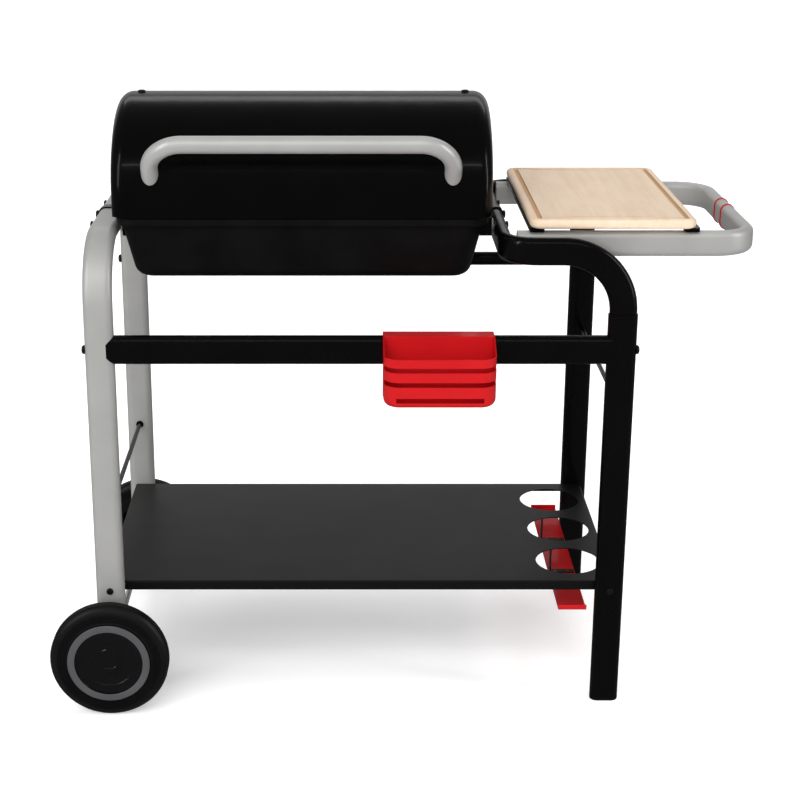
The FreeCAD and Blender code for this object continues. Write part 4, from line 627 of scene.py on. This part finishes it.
# ------------------------------------------------------------------------------ sub-assemblies
@dataclass
class Wheel:
    """One trolley wheel: ridged tyre, moulded rim and ringed hub cap.

    Attributes:
        shop: the workshop.
        side: "front" or "back".
        ridge: height of the side wall's rings in metres.
        ridges: number of those rings.
        grooves: number of grooves round the tread.
    """

    shop: Workshop
    side: str
    ridge: float = 1.6 * MM
    ridges: int = 6
    grooves: int = 4
    low: Vector = field(init=False)
    high: Vector = field(init=False)

    def __post_init__(self) -> None:
        """Read the tyre's place from the frame."""
        self.low, self.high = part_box(self.side + "_tyre")

    @property
    def outward(self) -> float:
        """-1 where the wheel's outer face looks to the front, 1 to the back.

        Returns:
            The outer face's direction along Y.
        """
        return -1.0 if self.side == "front" else 1.0

    @property
    def centre(self) -> Vector:
        """The middle of the wheel's outer face.

        Returns:
            The point on the axis.
        """
        middle = (self.low + self.high) / 2.0
        middle.y = self.low.y if self.outward < 0 else self.high.y
        return middle

    @property
    def radius(self) -> float:
        """Outer radius of the tyre.

        Returns:
            Metres.
        """
        return (self.high.z - self.low.z) / 2.0

    @property
    def width(self) -> float:
        """Width of the tyre.

        Returns:
            Metres.
        """
        return self.high.y - self.low.y

    def at(self, depth: float, radius: float) -> tuple[float, float]:
        """A profile point from the depth below the outer face and the radius.

        Args:
            depth: how far below the outer face, in metres.
            radius: distance from the axis, in metres.

        Returns:
            Distance along Y from the centre, and the radius.
        """
        return (-self.outward * depth, radius)

    def side_wall(self, start: float, end: float, flip: bool) -> list[tuple[float, float]]:
        """Rings moulded into a side wall.

        Args:
            start: radius of the first ring.
            end: radius after the last ring.
            flip: True for the wall nearest the legs.

        Returns:
            Profile points from start to end.
        """
        points = []
        pitch = (end - start) / self.ridges
        for index in range(self.ridges):
            base = start + pitch * index
            for share, rise in ((0.0, 0.0), (0.18, 1.0), (0.62, 1.0), (0.8, 0.0)):
                depth = self.ridge * (1.0 - rise)
                if flip:
                    depth = self.width - depth
                points.append(self.at(depth, base + pitch * share))
        return points

    def tread(self) -> list[tuple[float, float]]:
        """Grooves round the tread from the outer to the inner shoulder.

        Returns:
            Profile points.
        """
        points = []
        inset = 12.0 * MM
        span = self.width - 2.0 * inset
        pitch = span / self.grooves
        depth = 1.4 * MM
        points.append(self.at(2.2 * MM, self.radius - 7.5 * MM))
        points.append(self.at(5.5 * MM, self.radius - 2.8 * MM))
        for index in range(self.grooves):
            base = inset + pitch * index
            points.append(self.at(base - 1.0 * MM, self.radius))
            points.append(self.at(base + 1.0 * MM, self.radius - depth))
            points.append(self.at(base + 2.0 * MM, self.radius - depth))
            points.append(self.at(base + 4.0 * MM, self.radius))
        points.append(self.at(self.width - 9.0 * MM, self.radius - 0.6 * MM))
        points.append(self.at(self.width - 5.5 * MM, self.radius - 2.8 * MM))
        points.append(self.at(self.width - 2.2 * MM, self.radius - 7.5 * MM))
        return points

    def build_tyre(self) -> None:
        """Turn the tyre with rings on its walls and grooves round its tread."""
        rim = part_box(self.side + "_wheel_rim")
        seat = (rim[1].z - rim[0].z) / 2.0
        start = seat + 3.5 * MM
        end = self.radius - 12.0 * MM
        profile = [self.at(3.0 * MM, seat), self.at(0.8 * MM, seat + 0.8 * MM)]
        profile += self.side_wall(start, end, False)
        profile += self.tread()
        profile += list(reversed(self.side_wall(start, end, True)))
        profile += [self.at(self.width - 0.8 * MM, seat + 0.8 * MM), self.at(self.width - 3.0 * MM, seat)]
        tyre = self.shop.turned(self.side + "_tyre_moulded", self.centre, profile)
        self.shop.finish(tyre, self.side + "_wheel", Coating.TYRE_BLACK, [self.side + "_tyre"])

    def build_cap(self) -> None:
        """Turn the hub cap: a flat ring with rounded edges round a stepped dark bowl."""
        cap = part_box(self.side + "_hub_cap")
        outer = (cap[1].z - cap[0].z) / 2.0
        proud = abs((cap[0].y if self.outward < 0 else cap[1].y) - self.centre.y)
        ring = 12.5 * MM
        inner = outer - ring
        front = [
            (-1.0 * MM, outer), (-proud + 1.2 * MM, outer), (-proud + 0.3 * MM, outer - 0.6 * MM),
            (-proud, outer - 1.6 * MM), (-proud, inner + 1.6 * MM), (-proud + 0.4 * MM, inner + 0.5 * MM),
            (0.8 * MM, inner - 0.6 * MM), (1.6 * MM, inner - 2.2 * MM), (2.0 * MM, inner - 4.0 * MM),
            (5.2 * MM, inner - 11.0 * MM), (5.2 * MM, inner - 13.0 * MM), (6.2 * MM, inner - 14.0 * MM),
            (7.6 * MM, inner - 22.0 * MM), (8.2 * MM, 22.0 * MM), (7.2 * MM, 21.0 * MM),
            (7.2 * MM, 15.0 * MM),
            (8.6 * MM, 13.5 * MM), (9.0 * MM, 6.0 * MM), (9.0 * MM, 0.4 * MM),
        ]
        back = [
            (11.0 * MM, 0.4 * MM), (11.0 * MM, 12.0 * MM), (10.0 * MM, 30.0 * MM),
            (8.0 * MM, inner - 13.0 * MM),
            (4.5 * MM, inner - 1.5 * MM), (4.5 * MM, outer - 7.5 * MM), (9.0 * MM, outer - 7.5 * MM),
            (9.0 * MM, outer - 4.5 * MM), (3.0 * MM, outer - 4.5 * MM), (3.0 * MM, outer),
        ]
        profile = [self.at(depth, radius) for depth, radius in front + back]
        piece = self.shop.turned(self.side + "_hub_cap_moulded", self.centre, profile)
        self.shop.finish(piece, self.side + "_wheel", Coating.WHEEL_BLACK, [self.side + "_hub_cap"])
        piece.data.materials.append(self.shop.paint.material(Coating.HUB_GREY))
        axis = self.centre
        for face in piece.data.polygons:
            reach = math.hypot(face.center.x - axis.x, face.center.z - axis.z)
            depth = -(face.center.y - axis.y) * self.outward
            if reach > inner and depth < 1.0 * MM:
                face.material_index = 1

    def build(self) -> None:
        """Build the whole wheel."""
        self.build_tyre()
        self.build_cap()
        self.shop.refined(self.side + "_wheel_rim", self.side + "_wheel", Coating.WHEEL_BLACK, 0.5 * MM)


@dataclass
class SideFrames:
    """The bent tubes, rails and rods that carry everything."""

    shop: Workshop
    soften: float = 0.35 * MM

    def build(self) -> None:
        """Refine every tube and rod."""
        self.shop.refined("left_leg_tube", "frame", Coating.SILVER_TUBE)
        for node in ("right_top_tube", "right_front_leg", "right_back_leg", "front_rail", "rear_bar"):
            self.shop.refined(node, "frame", Coating.BLACK_TUBE)
        for node in ("left_tie_rod", "right_tie_rod"):
            self.shop.refined(node, "frame", Coating.BLACK_TUBE, self.soften)
        for node in ("right_front_foot", "right_back_foot", "left_leg_plugs"):
            self.shop.refined(node, "frame", Coating.BLACK_PLASTIC, self.soften)
        self.shop.refined("axle", "frame", Coating.ZINC_FIXINGS, self.soften)


@dataclass
class Shelf:
    """The pressed bottle shelf and the red cradle under its holes."""

    shop: Workshop
    soften: float = 0.5 * MM

    def build(self) -> None:
        """Refine shelf, cradle and rivets."""
        self.shop.refined("shelf", "frame", Coating.BLACK_SHEET, self.soften)
        self.shop.refined("bottle_cradle", "frame", Coating.RED_PAINT, self.soften)
        self.shop.refined("cradle_rivets", "frame", Coating.RED_PAINT)


@dataclass
class Tub:
    """The cast tub with its straps and lugs."""

    shop: Workshop
    soften: float = 0.8 * MM
    strap_soften: float = 0.4 * MM

    def build(self) -> None:
        """Refine the tub and what is bolted to it."""
        self.shop.refined("tub", "frame", Coating.CAST_BLACK, self.soften)
        self.shop.refined("grate_lugs", "frame", Coating.CAST_BLACK, self.soften)
        self.shop.refined("tub_straps", "frame", Coating.BLACK_TUBE, self.strap_soften)


@dataclass
class Lid:
    """The rolled lid, its dished ends and its bent grip."""

    shop: Workshop
    soften: float = 0.5 * MM

    def build(self) -> None:
        """Refine skin, ends, screws and grip."""
        self.shop.refined("lid_skin", "lid", Coating.LID_ENAMEL, self.soften)
        self.shop.refined("lid_end_left", "lid", Coating.LID_ENAMEL, self.soften)
        self.shop.refined("lid_end_right", "lid", Coating.LID_ENAMEL, self.soften)
        self.shop.refined("lid_grip", "lid", Coating.GRIP_SILVER)
        self.shop.refined("lid_crest_screws", "lid", Coating.BLACK_FIXINGS)


@dataclass
class SideTable:
    """The silver handle with its red bands round the beech board."""

    shop: Workshop

    def build(self) -> None:
        """Refine handle, bands, bearers and board."""
        self.shop.refined("side_handle", "frame", Coating.SILVER_TUBE)
        self.shop.refined("side_handle_rings", "frame", Coating.RED_BAND, 0.4 * MM)
        self.shop.refined("board_bearers", "frame", Coating.BLACK_TUBE, 0.4 * MM)
        self.shop.refined("board", "board", Coating.BEECH, 0.5 * MM)


@dataclass
class ToolHolder:
    """The red slotted holder on the front rail."""

    shop: Workshop

    def build(self) -> None:
        """Refine the bent sheet with softened edges."""
        self.shop.refined("tool_holder", "tool_holder", Coating.RED_PAINT, 0.5 * MM)


@dataclass
class Fixings:
    """What stays as the frame made it: bolts, washers, pins, plugs and grates."""

    shop: Workshop

    def build(self) -> None:
        """Give every node that is still shown the finish of its slot in the record."""
        by_slot = {coating.value.slot: coating for coating in Coating}
        for part in frame["record"]["subparts"]:
            node = frame["nodes"][part["node"]]
            if node.hide_render:
                continue
            self.shop.paint.dress(node, by_slot[part["material_slot"]])
            LOG.info("%s keeps its own shape", node.name)


# ------------------------------------------------------------------------------ studio
@dataclass
class Studio:
    """Pale floor, soft lights and the camera.

    Attributes:
        focal: lens for a 36 mm wide sensor, in millimetres.
        tilt: camera's downward pitch in degrees.
        shift: sideways framing shift.
        stand: camera's place from the foot of the front left leg, in metres.
        fill: strength of the light that comes from all round.
        glow: light given off by the floor, which keeps its shadows pale.
    """

    focal: float = 76.86
    tilt: float = 18.389
    shift: float = 0.068
    stand: tuple[float, float, float] = (0.3984, -2.651, 1.4253)
    fill: float = 0.13
    glow: float = 0.38

    def build_floor(self) -> None:
        """Lay a wide pale floor."""
        bpy.ops.object.select_all(action="DESELECT")
        bpy.ops.mesh.primitive_plane_add(size=FLOOR_SIZE, location=(0.0, 0.0, 0.0))
        floor = bpy.context.active_object
        floor.name = "studio_floor"
        bench = NodeBench("studio_paper")
        cloud = bench.noise(bench.mapped((1.0, 1.0, 1.0)), 1.5)
        tone = bench.blend(bench.between(cloud, 0.0, 1.0), (0.86, 0.86, 0.86), (0.9, 0.9, 0.9))
        bench.join(tone, bench.shader.inputs["Base Color"])
        bench.shader.inputs["Roughness"].default_value = 0.85
        bench.join(tone, bench.shader.inputs["Emission Color"])
        bench.shader.inputs["Emission Strength"].default_value = self.glow
        floor.data.materials.append(bench.material)
        floor.visible_glossy = False

    def build_light(self, name: str, place: Sequence[float], aim: Sequence[float],
                    size: tuple[float, float], power: float, mirrored_only: bool = False) -> None:
        """Hang one rectangular soft light.

        Args:
            name: the light's name.
            place: where it hangs, in metres.
            aim: the point it faces.
            size: width and height in metres.
            power: watts.
            mirrored_only: True for a light that is seen only as a reflection.
        """
        data = bpy.data.lights.new(name, "AREA")
        data.shape = "RECTANGLE"
        data.size, data.size_y = size
        data.energy = power
        lamp = bpy.data.objects.new(name, data)
        lamp.location = place
        way = Vector(aim) - Vector(place)
        lamp.rotation_euler = way.to_track_quat("-Z", "Y").to_euler()
        lamp.visible_camera = False
        lamp.visible_diffuse = not mirrored_only
        bpy.context.scene.collection.objects.link(lamp)

    def build_daylight(self, name: str, elevation: float, azimuth: float, strength: float) -> None:
        """Add an even, very soft light that gives no mirror image of itself.

        Args:
            name: the light's name.
            elevation: degrees above the floor.
            azimuth: degrees round from the front, anticlockwise seen from above.
            strength: irradiance in watts per square metre.
        """
        data = bpy.data.lights.new(name, "SUN")
        data.energy = strength
        data.angle = SUN_SPREAD
        lamp = bpy.data.objects.new(name, data)
        tilt = math.radians(90.0 - elevation)
        lamp.rotation_euler = (tilt, 0.0, math.radians(azimuth))
        lamp.visible_glossy = False
        bpy.context.scene.collection.objects.link(lamp)

    def build_world(self) -> None:
        """Show a white backdrop, and light the object from it only faintly."""
        world = bpy.data.worlds.new("studio_air")
        world.use_nodes = True
        tree = world.node_tree
        tree.nodes.clear()
        seen = tree.nodes.new("ShaderNodeBackground")
        felt = tree.nodes.new("ShaderNodeBackground")
        rays = tree.nodes.new("ShaderNodeLightPath")
        choice = tree.nodes.new("ShaderNodeMixShader")
        output = tree.nodes.new("ShaderNodeOutputWorld")
        for background, strength in ((felt, self.fill), (seen, 1.0)):
            background.inputs["Color"].default_value = (1.0, 1.0, 1.0, 1.0)
            background.inputs["Strength"].default_value = strength
        tree.links.new(rays.outputs["Is Camera Ray"], choice.inputs[0])
        tree.links.new(felt.outputs[0], choice.inputs[1])
        tree.links.new(seen.outputs[0], choice.inputs[2])
        tree.links.new(choice.outputs[0], output.inputs["Surface"])
        bpy.context.scene.world = world

    def build_camera(self) -> None:
        """Stand the camera in front of the trolley, looking slightly down."""
        left, left_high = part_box("left_leg_tube")
        leg, leg_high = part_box("right_front_leg")
        foot = Vector(((left.x + left_high.x) / 2.0, (leg.y + leg_high.y) / 2.0, 0.0))
        data = bpy.data.cameras.new("front_camera")
        data.sensor_width = SENSOR_WIDTH
        data.lens = self.focal
        data.shift_x = self.shift
        camera = bpy.data.objects.new("front_camera", data)
        camera.location = foot + Vector(self.stand)
        camera.rotation_euler = (math.radians(90.0 - self.tilt), 0.0, 0.0)
        bpy.context.scene.collection.objects.link(camera)
        bpy.context.scene.camera = camera

    def build(self) -> None:
        """Set up the whole studio."""
        self.build_floor()
        self.build_world()
        self.build_daylight("overhead", 80.0, 150.0, 1.7)
        self.build_daylight("frontal", 28.0, -14.0, 3.4)
        self.build_light("left_strip", (-2.4, -1.6, 1.8), (0.0, 0.0, 0.5), (0.3, 2.2), 14.0)
        self.build_light("right_strip", (2.7, -1.0, 1.5), (0.3, 0.0, 0.6), (0.2, 2.2), 16.0)
        self.build_light("front_strip", (0.0, -2.2, 2.4), (0.0, 0.0, 0.6), (2.8, 0.12), 4.5)
        self.build_light("rear_softbox", (0.1, 1.9, 2.3), (0.0, 0.0, 0.9), (3.0, 0.5), 7.0)
        self.build_light("rear_screen", (0.0, 4.0, 1.3), (0.0, 0.0, 0.9), (8.0, 2.4), 26.0, True)
        self.build_camera()
        bpy.context.scene.view_settings.view_transform = "Standard"


def main() -> None:
    """Build every sub-assembly in order, then the studio."""
    logging.basicConfig(level=logging.INFO, format="%(name)s: %(message)s")
    shop = Workshop(PaintShop())
    assemblies = [
        SideFrames(shop), Shelf(shop), Wheel(shop, "front"), Wheel(shop, "back"), Tub(shop),
        Lid(shop), SideTable(shop), ToolHolder(shop), Fixings(shop), Studio(),
    ]
    for assembly in assemblies:
        assembly.build()
        LOG.info("%s is built", type(assembly).__name__)


if __name__ == "__main__":
    main()
